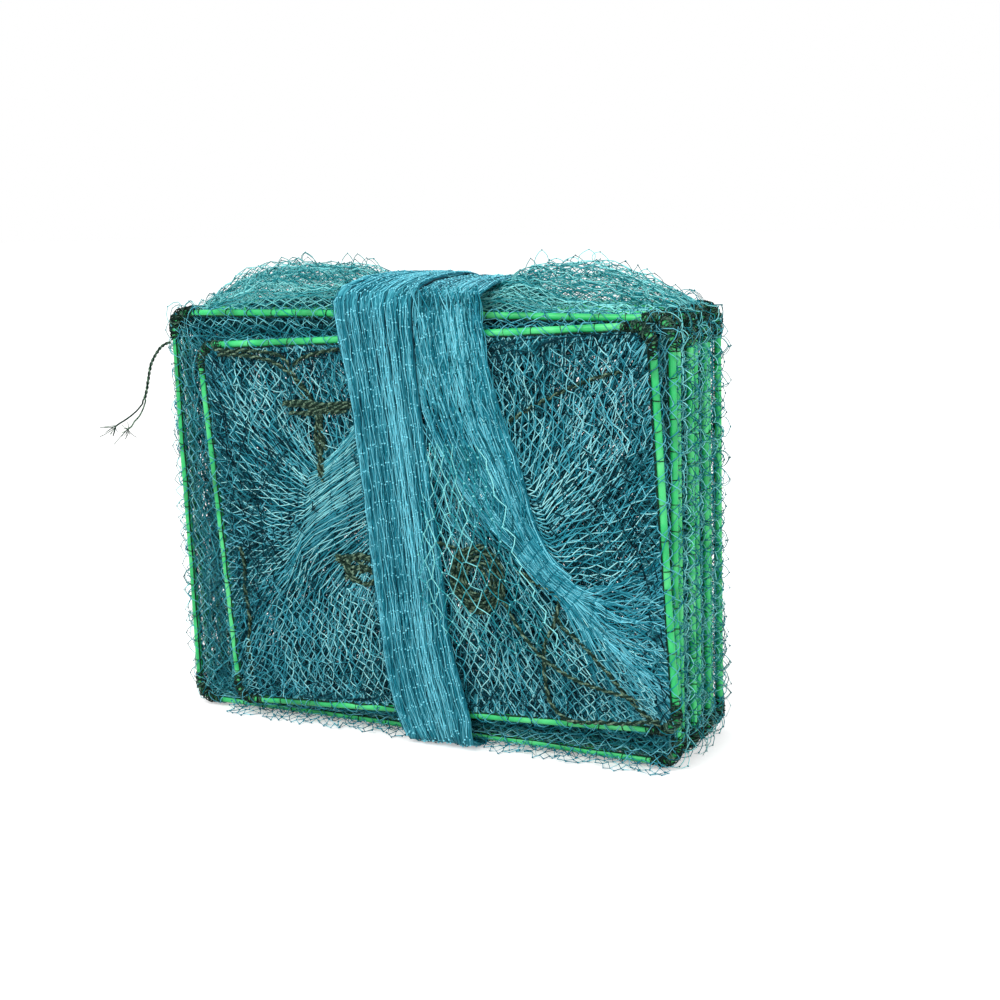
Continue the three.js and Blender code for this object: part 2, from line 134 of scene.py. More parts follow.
def noiseOnObject(tree, scale, detail=2.0, stretch=(1, 1, 1)):
    place = addNode(tree, "ShaderNodeTexCoord").outputs["Object"]
    shape = addNode(tree, "ShaderNodeMapping", {"Scale": stretch, "Vector": place})
    noise = addNode(tree, "ShaderNodeTexNoise", {
        "Scale": scale, "Detail": detail, "Vector": shape.outputs["Vector"],
    })
    return noise.outputs["Fac"]


def colourRamp(tree, source, places, colours):
    ramp = addNode(tree, "ShaderNodeValToRGB", {"Fac": source})
    elements = ramp.color_ramp.elements
    while len(elements) < len(places):
        elements.new(0.5)
    for element, place, colour in zip(elements, places, colours):
        element.position = place
        element.color = (*colour, 1)
    return ramp.outputs["Color"]


def mixedValues(tree, first, second, secondShare):
    mix = addNode(tree, "ShaderNodeMix", {"Factor": secondShare, "A": first, "B": second},
                  data_type="FLOAT")
    return mix.outputs["Result"]


def attributeValue(tree, name):
    return addNode(tree, "ShaderNodeAttribute", attribute_name=name).outputs["Fac"]


def endMaterial(tree, colour, inputs, rough, strength, distance):
    # rough is the pattern that the surface's fine relief follows
    bump = addNode(tree, "ShaderNodeBump", {
        "Strength": strength, "Distance": distance, "Height": rough,
    })
    shader = addNode(tree, "ShaderNodeBsdfPrincipled", {
        "Base Color": colour, "Normal": bump.outputs["Normal"], **inputs,
    })
    addNode(tree, "ShaderNodeOutputMaterial", {"Surface": shader.outputs["BSDF"]})


# Finishes: deep, middle and pale colours; the lit, half-shade and shade copies of the teal net
# paint light and shade into its colour

tealTones = ((0.001, 0.110, 0.165), (0.022, 0.310, 0.410), (0.270, 0.860, 1.000))
bodyTones = ((0.002, 0.105, 0.135), (0.024, 0.340, 0.390), (0.360, 1.000, 1.000))
# Painted light: a paler copy of the teal net for front strands, as if lit
paintedLitTones = ((0.003, 0.130, 0.190), (0.060, 0.440, 0.550), (0.430, 0.970, 1.000))
# Painted half shade: a darker copy of the teal net for nets that lie inside or behind others
paintedHalfShadeTones = ((0.001, 0.045, 0.066), (0.010, 0.160, 0.205), (0.080, 0.470, 0.550))
# Painted shade: a near-black copy of the teal net for the deepest inner nets
paintedShadeTones = ((0.0005, 0.010, 0.016), (0.002, 0.035, 0.052), (0.010, 0.110, 0.145))
foldedTones = ((0.001, 0.045, 0.070), (0.018, 0.205, 0.270), (0.090, 0.470, 0.570))
# Painted shade for the creases between the band's pleats
paintedCreaseShade = (0.000, 0.010, 0.018)
twineTones = ((0.0010, 0.014, 0.008), (0.016, 0.058, 0.038), (0.280, 0.430, 0.290))
lashTones = ((0.0004, 0.008, 0.006), (0.009, 0.048, 0.034), (0.120, 0.240, 0.170))
sleeveTones = ((0.004, 0.300, 0.080), (0.022, 0.620, 0.170), (0.170, 0.930, 0.340))
wireTones = ((0.30, 0.29, 0.27), (0.62, 0.61, 0.58))
sleeveRoughness = (0.2, 0.5)


def netMaterial(name, tones, shift, roughness):
    material, tree = newMaterial(name)
    mixed = mixedValues(tree, attributeValue(tree, "tone"), noiseOnObject(tree, 55, 3), 0.45)
    colour = colourRamp(tree, mixed, (0.15 + shift, 0.45 + shift, 0.80 + shift), tones)
    inputs = {"Roughness": roughness, "Specular IOR Level": 0.09}
    endMaterial(tree, colour, inputs, noiseOnObject(tree, 2600, 1), 0.35, 0.0002)
    return material


def foldedMaterial():
    # Many layers of net drawn side by side, in fine streaks that run with the tail, with painted
    # shade along the creases between pleats
    material, tree = newMaterial("foldedNet")
    streak = noiseOnObject(tree, 800, 2, stretch=(1, 0.025, 0.025))
    mixed = mixedValues(tree, streak, noiseOnObject(tree, 60, 3), 0.25)
    colour = addNode(tree, "ShaderNodeMix", {
        "Factor": attributeValue(tree, "crease"), "B": (*paintedCreaseShade, 1),
        "A": colourRamp(tree, mixed, (0.38, 0.50, 0.64), foldedTones),
    }, data_type="RGBA").outputs["Result"]
    inputs = {"Roughness": 0.5, "Specular IOR Level": 0.08}
    endMaterial(tree, colour, inputs, streak, 0.5, 0.0004)
    return material


def twineMaterial(name, tones, roughness):
    material, tree = newMaterial(name)
    fibre = noiseOnObject(tree, 900, 2)
    mixed = mixedValues(tree, attributeValue(tree, "tone"), fibre, 0.6)
    colour = colourRamp(tree, mixed, (0.35, 0.55, 0.74), tones)
    inputs = {"Roughness": roughness, "Specular IOR Level": 0.2}
    endMaterial(tree, colour, inputs, fibre, 0.6, 0.0003)
    return material


def sleeveMaterial():
    material, tree = newMaterial("greenSleeve")
    colour = colourRamp(tree, noiseOnObject(tree, 38, 4), (0.30, 0.50, 0.78), sleeveTones)
    scuff = noiseOnObject(tree, 420, 3)
    rough = addNode(tree, "ShaderNodeMapRange", {
        "To Min": sleeveRoughness[0], "To Max": sleeveRoughness[1], "Value": scuff,
    })
    endMaterial(tree, colour, {"Roughness": rough.outputs["Result"]}, scuff, 0.15, 0.0002)
    return material


def wireMaterial():
    material, tree = newMaterial("steelWire")
    drawn = noiseOnObject(tree, 300, 3)
    colour = colourRamp(tree, drawn, (0.3, 0.7), wireTones)
    endMaterial(tree, colour, {"Metallic": 0.95, "Roughness": 0.34}, drawn, 0.1, 0.0001)
    return material


tealNet = netMaterial("tealNet", tealTones, 0.0, 0.42)
tailNet = netMaterial("tailNet", tealTones, -0.05, 0.42)
bodyNet = netMaterial("bodyNet", bodyTones, -0.06, 0.42)
# The next three are the painted lit, half-shade and shade copies of the teal net
paintedLitNet = netMaterial("paintedLitNet", paintedLitTones, -0.08, 0.38)
paintedHalfShadeNet = netMaterial("paintedHalfShadeNet", paintedHalfShadeTones, 0.0, 0.55)
paintedShadeNet = netMaterial("paintedShadeNet", paintedShadeTones, 0.0, 0.75)
foldedNet = foldedMaterial()
darkTwine = twineMaterial("darkTwine", twineTones, 0.8)
lashTwine = twineMaterial("lashTwine", lashTones, 0.85)
greenSleeve = sleeveMaterial()
steelWire = wireMaterial()
print("Finishes made")


# One Geometry Nodes tree turns thin lines into strands and ties a knot at each marked point

def newTree(name, inputs):
    tree = bpy.data.node_groups.new(name, "GeometryNodeTree")
    for key, kind in inputs.items():
        tree.interface.new_socket(key, in_out="INPUT", socket_type="NodeSocket" + kind)
    tree.interface.new_socket("Geometry", in_out="OUTPUT", socket_type="NodeSocketGeometry")
    return tree, addNode(tree, "NodeGroupInput").outputs


def endTree(tree, geometry, finish):
    real = addNode(tree, "GeometryNodeRealizeInstances", {"Geometry": geometry})
    smooth = addNode(tree, "GeometryNodeSetShadeSmooth", {"Geometry": real.outputs[0]})
    done = addNode(tree, "GeometryNodeSetMaterial", {
        "Geometry": smooth.outputs[0], "Material": finish,
    })
    addNode(tree, "NodeGroupOutput", {"Geometry": done.outputs[0]})


def halfOf(tree, value):
    return addNode(tree, "ShaderNodeMath", {0: value, 1: 0.5}, operation="MULTIPLY").outputs[0]


def circle(tree, sides, radius):
    kind = "GeometryNodeCurvePrimitiveCircle"
    return addNode(tree, kind, {"Resolution": sides, "Radius": radius}).outputs["Curve"]


def namedAttribute(tree, name, kind):
    made = addNode(tree, "GeometryNodeInputNamedAttribute", {"Name": name}, data_type=kind)
    return made.outputs["Attribute"]


def buildStrandTree():
    tree, given = newTree("strandTree", {
        "Geometry": "Geometry", "Thickness": "Float", "Sides": "Int", "Knot size": "Float",
        "Knot tone": "Float", "Seed": "Int", "Finish": "Material",
    })
    lines = addNode(tree, "GeometryNodeMeshToCurve", {"Mesh": given["Geometry"]})
    tubes = addNode(tree, "GeometryNodeCurveToMesh", {
        "Curve": lines.outputs["Curve"], "Fill Caps": True,
        "Profile Curve": circle(tree, given["Sides"], halfOf(tree, given["Thickness"])),
    })
    knot = addNode(tree, "GeometryNodeMeshUVSphere", {
        "Segments": 4, "Rings": 2, "Radius": halfOf(tree, given["Knot size"]),
    })
    # Knots take a tone of their own; a high tone paints highlights on them
    toned = addNode(tree, "GeometryNodeStoreNamedAttribute", {
        "Name": "tone", "Geometry": knot.outputs["Mesh"], "Value": given["Knot tone"],
    }, data_type="FLOAT", domain="POINT")
    turned = addNode(tree, "FunctionNodeRandomValue", {
        "Max": (math.tau, math.tau, math.tau), "Seed": given["Seed"],
    }, data_type="FLOAT_VECTOR")
    grown = addNode(tree, "FunctionNodeRandomValue", {
        2: 0.75, 3: 1.3, "Seed": given["Seed"],
    }, data_type="FLOAT")
    tied = addNode(tree, "GeometryNodeInstanceOnPoints", {
        "Points": given["Geometry"], "Selection": namedAttribute(tree, "knot", "BOOLEAN"),
        "Instance": toned.outputs["Geometry"], "Rotation": turned.outputs["Value"],
        "Scale": grown.outputs[1],
    })
    both = addNode(tree, "GeometryNodeJoinGeometry", {"Geometry": tubes.outputs["Mesh"]})
    tree.links.new(tied.outputs["Instances"], both.inputs["Geometry"])
    endTree(tree, both.outputs["Geometry"], given["Finish"])
    return tree


strandTree = buildStrandTree()


def grownMesh(source, tree, **values):
    # Runs a tree on a mesh and gives back the plain mesh that it makes
    holder = newObject("holder", source)
    modifier = holder.modifiers.new("grow", "NODES")
    modifier.node_group = tree
    for item in tree.interface.items_tree:
        key = item.name.lower().replace(" ", "_")
        if item.in_out == "INPUT" and key in values:
            modifier[item.identifier] = values[key]
    bpy.context.view_layer.update()
    ready = holder.evaluated_get(bpy.context.evaluated_depsgraph_get())
    mesh = bpy.data.meshes.new_from_object(ready)
    bpy.data.objects.remove(holder)
    bpy.data.meshes.remove(source)
    return mesh


def pointMesh(points, attributes, edges=()):
    # attributes: name, kind and values of each
    mesh = bpy.data.meshes.new("source")
    mesh.vertices.add(len(points))
    mesh.vertices.foreach_set("co", points.astype(np.float32).ravel())
    mesh.edges.add(len(edges))
    if len(edges):
        mesh.edges.foreach_set("vertices", edges.astype(np.int32).ravel())
    for name, kind, values in attributes:
        made = mesh.attributes.new(name, kind, "POINT")
        made.data.foreach_set("vector" if kind == "FLOAT_VECTOR" else "value", values.ravel())
    mesh.update()
    return mesh


def lineMesh(lines):
    # lines: (points, closed, tone, knots) rows, one per strand
    counts = [len(line[0]) for line in lines]
    starts = np.concatenate([[0], np.cumsum(counts)[:-1]])
    points = np.concatenate([line[0] for line in lines])
    edges = []
    for (path, closed, tone, knots), start in zip(lines, starts):
        ids = start + np.arange(len(path))
        edges.append(np.stack([ids[:-1], ids[1:]], 1))
        if closed:
            edges.append(np.array([[ids[-1], ids[0]]]))
    return pointMesh(points, [
        ("tone", "FLOAT", np.repeat([line[2] for line in lines], counts)),
        ("spine", "FLOAT", points[:, 1].astype(np.float32)),
        ("knot", "BOOLEAN", np.concatenate([line[3] for line in lines])),
    ], np.concatenate(edges))


bayTravel = 0.18


def stretchAt(y, span):
    # How many times a net that blends over this span grows along y there, as its bay opens
    start, end = span
    share = np.clip((y - start) / (end - start), 0, 1)
    return 1 + bayTravel * 6 * share * (1 - share) / (end - start)


def strandPiece(name, lines, finish, thickness, knotSize=0.0, sides=3, seed=1, floor=None,
                knotTone=0.15, span=None):
    mesh = grownMesh(
        lineMesh(lines), strandTree, thickness=thickness, sides=sides, knot_size=knotSize,
        knot_tone=knotTone, seed=seed, finish=finish,
    )
    spots = np.empty(len(mesh.vertices) * 3, np.float32)
    mesh.vertices.foreach_get("co", spots)
    if span:
        # Strands lie flat in the folded bay, and are round when it is open
        spine = np.empty(len(mesh.vertices), np.float32)
        mesh.attributes["spine"].data.foreach_get("value", spine)
        spots[1::3] = spine + (spots[1::3] - spine) / stretchAt(spine, span)
    if floor is not None:
        spots[2::3] = np.maximum(spots[2::3], floor)
    mesh.vertices.foreach_set("co", spots)
    mesh.attributes.remove(mesh.attributes["spine"])
    mesh.update()
    mesh.name = name
    return newObject(name, mesh)


def rideOn(body, slot, *pieces, stands=None):
    for piece in pieces:
        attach(piece, body)
    if stands:
        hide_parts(stands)


def plainLine(path, tone=0.5, closed=False):
    return np.asarray(path, float), closed, tone, np.zeros(len(path), bool)


# Cords: two plies twisted about each other along a smooth route

def smoothPath(points, step=0.0005):
    # A Catmull-Rom curve through the points, sampled at an even step
    points = np.asarray(points, float)
    ends = np.concatenate([[2 * points[0] - points[1]], points, [2 * points[-1] - points[-2]]])
    fine = []
    for i in range(len(points) - 1):
        a, b, c, d = ends[i:i + 4]
        for t in np.linspace(0, 1, 24, endpoint=False):
            fine.append(0.5 * (2 * b + (c - a) * t + (2 * a - 5 * b + 4 * c - d) * t ** 2
                               + (3 * b - a - 3 * c + d) * t ** 3))
    fine = np.array(fine + [points[-1]])
    run = np.concatenate([[0], np.cumsum(np.linalg.norm(np.diff(fine, axis=0), axis=1))])
    even = np.linspace(0, run[-1], max(2, int(round(run[-1] / step)) + 1))
    return np.stack([np.interp(even, run, fine[:, i]) for i in range(3)], 1), run[-1]


def pliesAlong(points, thick):
    # Each ply is a helix about the route, and together they are as thick as the cord
    path, length = smoothPath(points)
    ahead = np.gradient(path, axis=0)
    ahead = ahead / np.linalg.norm(ahead, axis=1)[:, None]
    side = np.cross(ahead, (0, 1, 0))
    short = np.linalg.norm(side, axis=1)[:, None]
    side = np.where(short > 1e-3, side / np.maximum(short, 1e-6), (1, 0, 0))
    other = np.cross(side, ahead)
    turns = np.linspace(0, length, len(path)) / (thick * twineShape["lay"])
    lines = []
    for ply in range(2):
        turn = math.tau * (turns + ply / 2)
        off = side * np.cos(turn)[:, None] + other * np.sin(turn)[:, None]
        lines.append(plainLine(path + off * thick * twineShape["plyOut"], 0.25 + 0.5 * ply))
    return lines, path, length


twineShape = {
    "plyOut": 0.25,         # of the cord's thickness, from its middle to a ply's
    "plyThick": 0.54,       # of the cord's thickness
    "lay": 3.1,             # of the cord's thickness, for one whole turn
    "sides": 6,
}


def pliesPiece(name, lines, thick, seed=1):
    return strandPiece(name, lines, darkTwine, thick * twineShape["plyThick"],
                       sides=twineShape["sides"], seed=seed)


def frayed(name, spot, away, count, reach, thick, seed):
    # Loose fibres at a cut end
    rng = np.random.RandomState(seed)
    lines = []
    away = np.asarray(away, float) / np.linalg.norm(away)
    for i in range(count):
        spread = rng.normal(scale=0.42, size=3) * (1, 0.5, 1)
        bent = spread + rng.normal(scale=0.35, size=3)
        share = np.linspace(0, 1, 7)[:, None]
        size = reach * rng.uniform(0.5, 1)
        route = away * share + spread * share + (bent - spread) * share ** 2
        path = np.asarray(spot) + route * size
        lines.append(plainLine(path, rng.uniform(0.1, 0.9)))
    return strandPiece(name, lines, darkTwine, thick, sides=4, seed=seed)


tieCord = {
    "thick": 0.0019,
    # across and up, from inside the corner's lashing to the end of the longer ply
    "route": [
        (-0.1570, 0.2224), (-0.1599, 0.2216), (-0.1637, 0.2197), (-0.1670, 0.2167),
        (-0.1703, 0.2127), (-0.1727, 0.2088), (-0.1742, 0.2047), (-0.1753, 0.2010),
        (-0.1764, 0.1970), (-0.1776, 0.1930), (-0.1793, 0.1888), (-0.1818, 0.1850),
        (-0.1855, 0.1813), (-0.1904, 0.1778), (-0.1959, 0.1746), (-0.2001, 0.1725),
        (-0.2034, 0.1706),
    ],
    "splitAt": 0.60,
    "secondPly": [(-0.1789, 0.1872), (-0.1812, 0.1823), (-0.1845, 0.1776), (-0.1885, 0.1742),
                  (-0.1911, 0.1711), (-0.1944, 0.1690)],
    "frayReach": 0.0075,
    "frayThick": 0.0004,
    "frayCount": 15,
}


def makeTieCord():
    # Towards its end the two plies part and each ends in a tuft
    low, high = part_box("tie_cord")
    along = (low.y + high.y) / 2
    thick = tieCord["thick"]
    points = [(x, along, z) for x, z in tieCord["route"]]
    lines, path, length = pliesAlong(points, thick)
    split = int(tieCord["splitAt"] * len(path))
    alone = np.clip((np.arange(len(path)) - split) / 12, 0, 1)[:, None]
    first = lines[0][0] * (1 - alone) + path * alone
    second = lines[1][0][:split]
    cord = pliesPiece("tieCord", [plainLine(first, 0.3), plainLine(second, 0.75)], thick)
    other = [second[-1], *[(x, along, z) for x, z in tieCord["secondPly"]]]
    other = smoothPath(other)[0]
    pieces = [pliesPiece("tieCordPly", [plainLine(other, 0.75)], thick)]
    for number, line in enumerate((path, other)):
        end, before = line[-1], line[-10]
        pieces.append(frayed(f"tieCordFray{number + 1}", end - (end - before) * 0.2, end - before,
                             tieCord["frayCount"], tieCord["frayReach"],
                             tieCord["frayThick"], 31 + number))
    rideOn("hoop_2", "dark_twine", cord, *pieces, stands="tie_cord")
    print("Tie cord made, length %.0f mm" % (length * 1000))


drawCord = {
    "thick": 0.0022,
    "start": [(0.02274, 0.1185), (0.03174, 0.1165), (0.04074, 0.1144)],
    "coilCentre": (0.04924, 0.1004),
    "coilRadius": 0.0150,
    "coilPitch": 0.0021,
    "coilRise": 0.00065,
    "coilTurns": 4.25,
    "coilTall": 1.12,
    "crossShare": 0.25,
    "crossRise": 0.0024,
    "stepsPerTurn": 24,
    "end": [
        (0.06474, 0.091), (0.07174, 0.078), (0.08474, 0.062), (0.10274, 0.051),
        (0.12074, 0.046), (0.13674, 0.043),
    ],
}


def makeDrawCord():
    low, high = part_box("draw_cord")
    seat, (x0, z0) = high.y - drawCord["thick"] / 2, drawCord["coilCentre"]
    points = [(x, seat, z) for x, z in drawCord["start"]]
    whole = drawCord["coilTurns"]
    lift = whole * drawCord["coilRise"] + drawCord["crossRise"]
    for s in range(round(whole * drawCord["stepsPerTurn"]) + 1):
        turns = s / drawCord["stepsPerTurn"]
        turn = math.pi / 2 - turns * math.tau
        radius = drawCord["coilRadius"] - turns * drawCord["coilPitch"]
        crossing = max(0, 1 - (whole - turns) / drawCord["crossShare"])
        points.append((
            x0 + radius * math.cos(turn),
            seat - turns * drawCord["coilRise"] - crossing * drawCord["crossRise"],
            z0 + radius * math.sin(turn) * drawCord["coilTall"],
        ))
    for i, (x, z) in enumerate(drawCord["end"]):
        back = 1 - (i + 1) / len(drawCord["end"])
        points.append((x, seat - lift * back, z))
    lines, path, length = pliesAlong(points, drawCord["thick"])
    cord = pliesPiece("drawCord", lines, drawCord["thick"], seed=2)
    fray = frayed("drawCordFray", path[-1], path[-1] - path[-10], 6, 0.006, 0.0004, 33)
    rideOn("hoop_1", "dark_twine", cord, fray, stands="draw_cord")
    print("Draw cord made, length %.0f mm" % (length * 1000))


# Short lengths of twine that show through the small hoop's netting: across and up, in mm

looseTwines = {
    "thick": 0.0025,
    "hankThick": 0.0016,
    "deeper": 0.0009,
    # the layer and the route of each
    "runs": [
        (-0.0447, [(-119, 220), (-110, 219), (-96, 219.5), (-80, 218.5), (-71, 215),
                   (-67, 208), (-61, 197), (-54, 187), (-50, 176), (-47, 165)]),
        (-0.0451, [(-117, 217), (-104, 217), (-90, 216), (-78, 213), (-66, 206),
                   (-58, 198), (-52, 188), (-49, 176), (-50, 164), (-53, 153)]),
        (-0.0448, [(-30, 222), (-40, 221), (-50, 219), (-60, 216), (-66, 212)]),
        (-0.0440, [(58, 180), (65, 184), (81, 193.5), (98, 202), (115, 209), (133, 214)]),
        (-0.0472, [(72, 106), (82, 100), (89, 97), (95, 93), (94, 85), (91, 76),
                   (87, 69), (85.5, 60), (86, 46), (88.5, 35), (95, 28), (104, 25.5),
                   (117, 27), (130, 28), (151, 32)]),
        (-0.0465, [(92, 84), (98, 76), (105, 71), (118, 59), (129, 47), (140, 36), (151, 29)]),
        (-0.0437, [(-111, 104), (-109, 92), (-110, 81), (-108, 60), (-110, 42), (-109, 27)]),
    ],
    # start, end, spread, strands and layer of each slack hank
    "hanks": [
        ((-70, 190), (-28, 191), 3.4, 6, -0.0455),
        ((-68, 186), (-34, 188), 2.4, 3, -0.0452),
        ((-50, 187), (-51, 150), 4.5, 3, -0.0449),
        ((-42, 104), (-14, 97), 5.5, 5, -0.0452),
        ((-38, 93), (-16, 107), 4.0, 3, -0.0450),
    ],
    # middle across and up, half width, half height, turns and layer of each ring
    "rings": [
        (47, 99, 16.5, 18.0, 4, -0.0466),
        (-26, 98, 11.0, 9.0, 4, -0.0450),
    ],
}


def makeLooseTwines():
    thick = looseTwines["thick"]
    lines = []
    for layer, run in looseTwines["runs"]:
        points = [(x / 1000, layer + looseTwines["deeper"], z / 1000) for x, z in run]
        lines += pliesAlong(points, thick)[0]
    rng = np.random.RandomState(35)
    thin = looseTwines["hankThick"]
    for start, end, spread, strands, layer in looseTwines["hanks"]:
        start, end = np.array(start), np.array(end)
        beside = np.array([start[1] - end[1], end[0] - start[0]]) / np.hypot(*(end - start))
        for strand in range(strands):
            share = np.linspace(-0.04, 1.04, 9) + rng.uniform(-0.05, 0.05)
            offset = rng.uniform(-0.6, 0.6)
            offset = offset + 0.45 * np.sin(rng.uniform(3, 7) * share + 6 * rng.uniform())
            offset = spread * offset * (0.35 + 0.65 * np.sin(math.pi * np.clip(share, 0, 1)))
            spots = (start + (end - start) * share[:, None] + beside * offset[:, None]) / 1000
            points = [(x, layer + looseTwines["deeper"] - 0.00025 * strand, z) for x, z in spots]
            lines += pliesAlong(points, thin)[0]
    for x, z, wide, tall, turns, layer in looseTwines["rings"]:
        points = []
        for s in range(turns * 14 + 1):
            turn = s / 14 * math.tau
            slack = 1 + rng.uniform(-0.14, 0.10) - 0.03 * s / 14
            points.append((
                (x + wide * slack * math.cos(turn)) / 1000,
                layer + 0.0003 * math.sin(1.7 * turn),
                (z + tall * slack * math.sin(turn)) / 1000,
            ))
        lines += pliesAlong(points, thin)[0]
    twine = strandPiece("looseTwines", lines, darkTwine, thick * twineShape["plyThick"],
                        sides=4, seed=3)
    rideOn("hoop_1", "dark_twine", twine)


makeTieCord()
makeDrawCord()
makeLooseTwines()


# The hoops' places come from the frame

hoopShape = {
    "count": 9,
    "sleeveThick": 0.0040,
    "cadSides": 6,
    "corner": 0.0095,
    "frontRoll": 0.055,
    "rearRoll": -0.025,
    "sleeveSides": 12,
    "sleeveStep": 0.004,
    "buttGap": 0.0016,
    "waver": 0.00035,
}


def readHoops():
    hoops = []
    corner = hoopShape["corner"]
    reach = hoopShape["sleeveThick"] / 2 * math.cos(math.pi / hoopShape["cadSides"])
    for k in range(1, hoopShape["count"] + 1):
        low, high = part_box(f"hoop_sleeve_{k}")
        roll = {1: hoopShape["frontRoll"], hoopShape["count"]: hoopShape["rearRoll"]}.get(k, 0.0)
        c, s = math.cos(roll), abs(math.sin(roll))
        boxWide = (high.x - low.x) / 2 - reach - corner
        boxTall = (high.z - low.z) / 2 - reach - corner
        wide = (boxWide * c - boxTall * s) / (c * c - s * s) + corner
        tall = (boxTall * c - boxWide * s) / (c * c - s * s) + corner
        hoops.append({
            "body": f"hoop_{k}", "roll": roll, "halfWide": wide, "halfTall": tall,
            "x": (low.x + high.x) / 2, "y": (low.y + high.y) / 2, "z": (low.z + high.z) / 2,
            "loop": loopTable(wide, tall, corner),
        })
    return hoops


def loopTable(halfWide, halfTall, corner):
    # A rounded rectangle by its share of the way round, from the bottom's middle to the right
    spots = [(0.0, -halfTall, -math.pi / 2)]
    centres = [(1, -1), (1, 1), (-1, 1), (-1, -1)]
    for c, (sideX, sideZ) in enumerate(centres):
        for s in range(9):
            turn = -math.pi / 2 + (c + s / 8) * math.pi / 2
            spots.append((
                sideX * (halfWide - corner) + corner * math.cos(turn),
                sideZ * (halfTall - corner) + corner * math.sin(turn),
                turn,
            ))
    spots.append((0.0, -halfTall, 1.5 * math.pi))
    table = np.array(spots)
    steps = np.hypot(np.diff(table[:, 0]), np.diff(table[:, 1]))
    length = np.concatenate([[0], np.cumsum(steps)])
    return {"share": length / length[-1], "table": table, "length": length[-1]}


def onLoop(loop, share, out=0.0):
    share = np.mod(share, 1.0)
    x, z, turn = (np.interp(share, loop["share"], loop["table"][:, i]) for i in range(3))
    return x + np.cos(turn) * out, z + np.sin(turn) * out


def placedXZ(hoop, x, z):
    c, s = math.cos(hoop["roll"]), math.sin(hoop["roll"])
    return hoop["x"] + x * c - z * s, hoop["z"] + x * s + z * c


def onHoop(hoop, share, out=0.0):
    return placedXZ(hoop, *onLoop(hoop["loop"], share, out))


def waves(seed, count, most):
    # A smooth random surface over two shares; it closes on itself in the first
    rng = np.random.RandomState(seed)
    first = rng.randint(1, most, count)
    second = rng.uniform(-most / 3, most / 3, count)
    phase = rng.uniform(0, math.tau, count)
    size = rng.uniform(0.5, 1.0, count) / math.sqrt(count)

    def height(u, v):
        total = np.zeros(np.broadcast(u, v).shape)
        for a, b, p, g in zip(first, second, phase, size):
            total = total + g * np.sin(math.tau * (a * u + b * v) + p)
        return total

    return height


hoops = readHoops()
for hoop in hoops:
    print("  ", hoop["body"], "%.1f x %.1f mm at y %.1f" % (
        2000 * hoop["halfWide"], 2000 * hoop["halfTall"], 1000 * hoop["y"]))


def makeSleeves():
    for k, hoop in enumerate(hoops, 1):
        count = int(hoop["loop"]["length"] / hoopShape["sleeveStep"])
        gap = hoopShape["buttGap"] / 2 / hoop["loop"]["length"]
        share = np.linspace(gap, 1 - gap, count)
        bend = waves(40 + k, 5, 9)
        x, z = onHoop(hoop, share, hoopShape["waver"] * bend(share, 0 * share))
        y = hoop["y"] + hoopShape["waver"] * bend(share, 0.3 + 0 * share)
        path = plainLine(np.stack([x, y, z], 1))
        sleeve = strandPiece(
            f"greenSleeve{k}", [path], greenSleeve, hoopShape["sleeveThick"],
            sides=hoopShape["sleeveSides"],
        )
        rideOn(hoop["body"], "green_sleeve", sleeve, stands=f"hoop_sleeve_{k}")
        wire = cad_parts[f"hoop_wire_{k}"]
        wire.data.materials.clear()
        wire.data.materials.append(steelWire)
    print("Sleeves made:", len(hoops))


makeSleeves()


# Nets: a diamond net laid on any surface that a place function gives

def netLines(place, columns, rows, closed=True, along=True, jitter=0.0, bow=0.0, seed=0,
             keepRim=True, tied=True, span=None):
    rng = np.random.RandomState(seed)
    halves = 2 * columns
    count = halves if closed else halves + 1
    h, j = np.meshgrid(np.arange(count), np.arange(rows + 1), indexing="ij")
    knots = place(h / halves, j / rows)
    slack = rng.normal(scale=jitter, size=knots.shape) if jitter else np.zeros(knots.shape)
    if keepRim:
        slack[:, 0] = 0
        slack[:, -1] = 0
    if span:
        slack[..., 1] /= stretchAt(knots[..., 1], span)
    knots = knots + slack
    routes = []
    if along:
        for c in range(columns + (0 if closed else 1)):
            for side in (1, -1):
                row = np.arange(rows + 1)
                column = 2 * c + side * (row % 2)
                if closed:
                    column = column % halves
                elif column.min() < 0 or column.max() > halves:
                    continue
                routes.append((column, row, side > 0, False))
    else:
        for r in range(rows):
            step = np.arange(halves if closed else halves + 1)
            column = step + r % 2
            column = column % halves if closed else column
            ok = column <= halves
            routes.append((column[ok], (r + step % 2)[ok], step[ok] % 2 == 0, closed))
    lines = []
    for column, row, marked, loops in routes:
        path = knots[column, row]
        marks = np.broadcast_to(marked & tied, row.shape).copy()
        if bow:
            path, marks = bowed(path, marks, loops, bow, rng, span)
        lines.append((path, loops, rng.uniform(), marks))
    return lines


def bowed(path, marks, loops, bow, rng, span):
    # A point in the middle of each bar lets it curve
    slack = rng.normal(scale=bow, size=path.shape)
    if span:
        slack[:, 1] = 0
    full = np.empty((2 * len(path), 3))
    full[0::2], full[1::2] = path, (path + np.roll(path, -1, axis=0)) / 2 + slack
    spread = np.zeros(2 * len(path), bool)
    spread[0::2] = marks
    last = len(full) if loops else -1
    return full[:last], spread[:last]


def netPiece(name, place, settings, finish, seed, strandSeed, extra=(), columns=0, rows=0,
             span=None, floor=None, knotTone=0.15, **layout):
    lines = netLines(place, columns or settings["columns"], rows or settings["rows"],
                     jitter=settings["jitter"], bow=settings.get("bow", 0.0), seed=seed,
                     span=span, **layout)
    return strandPiece(name, [*lines, *extra], finish, settings["thickness"],
                       settings.get("knot", 0.0), seed=strandSeed, floor=floor,
                       knotTone=knotTone, span=span)


def hoopPiece(hoop, slot, *values, stands=None, **more):
    # A net that rides on one hoop
    rideOn(hoop["body"], slot, netPiece(*values, **more), stands=stands)


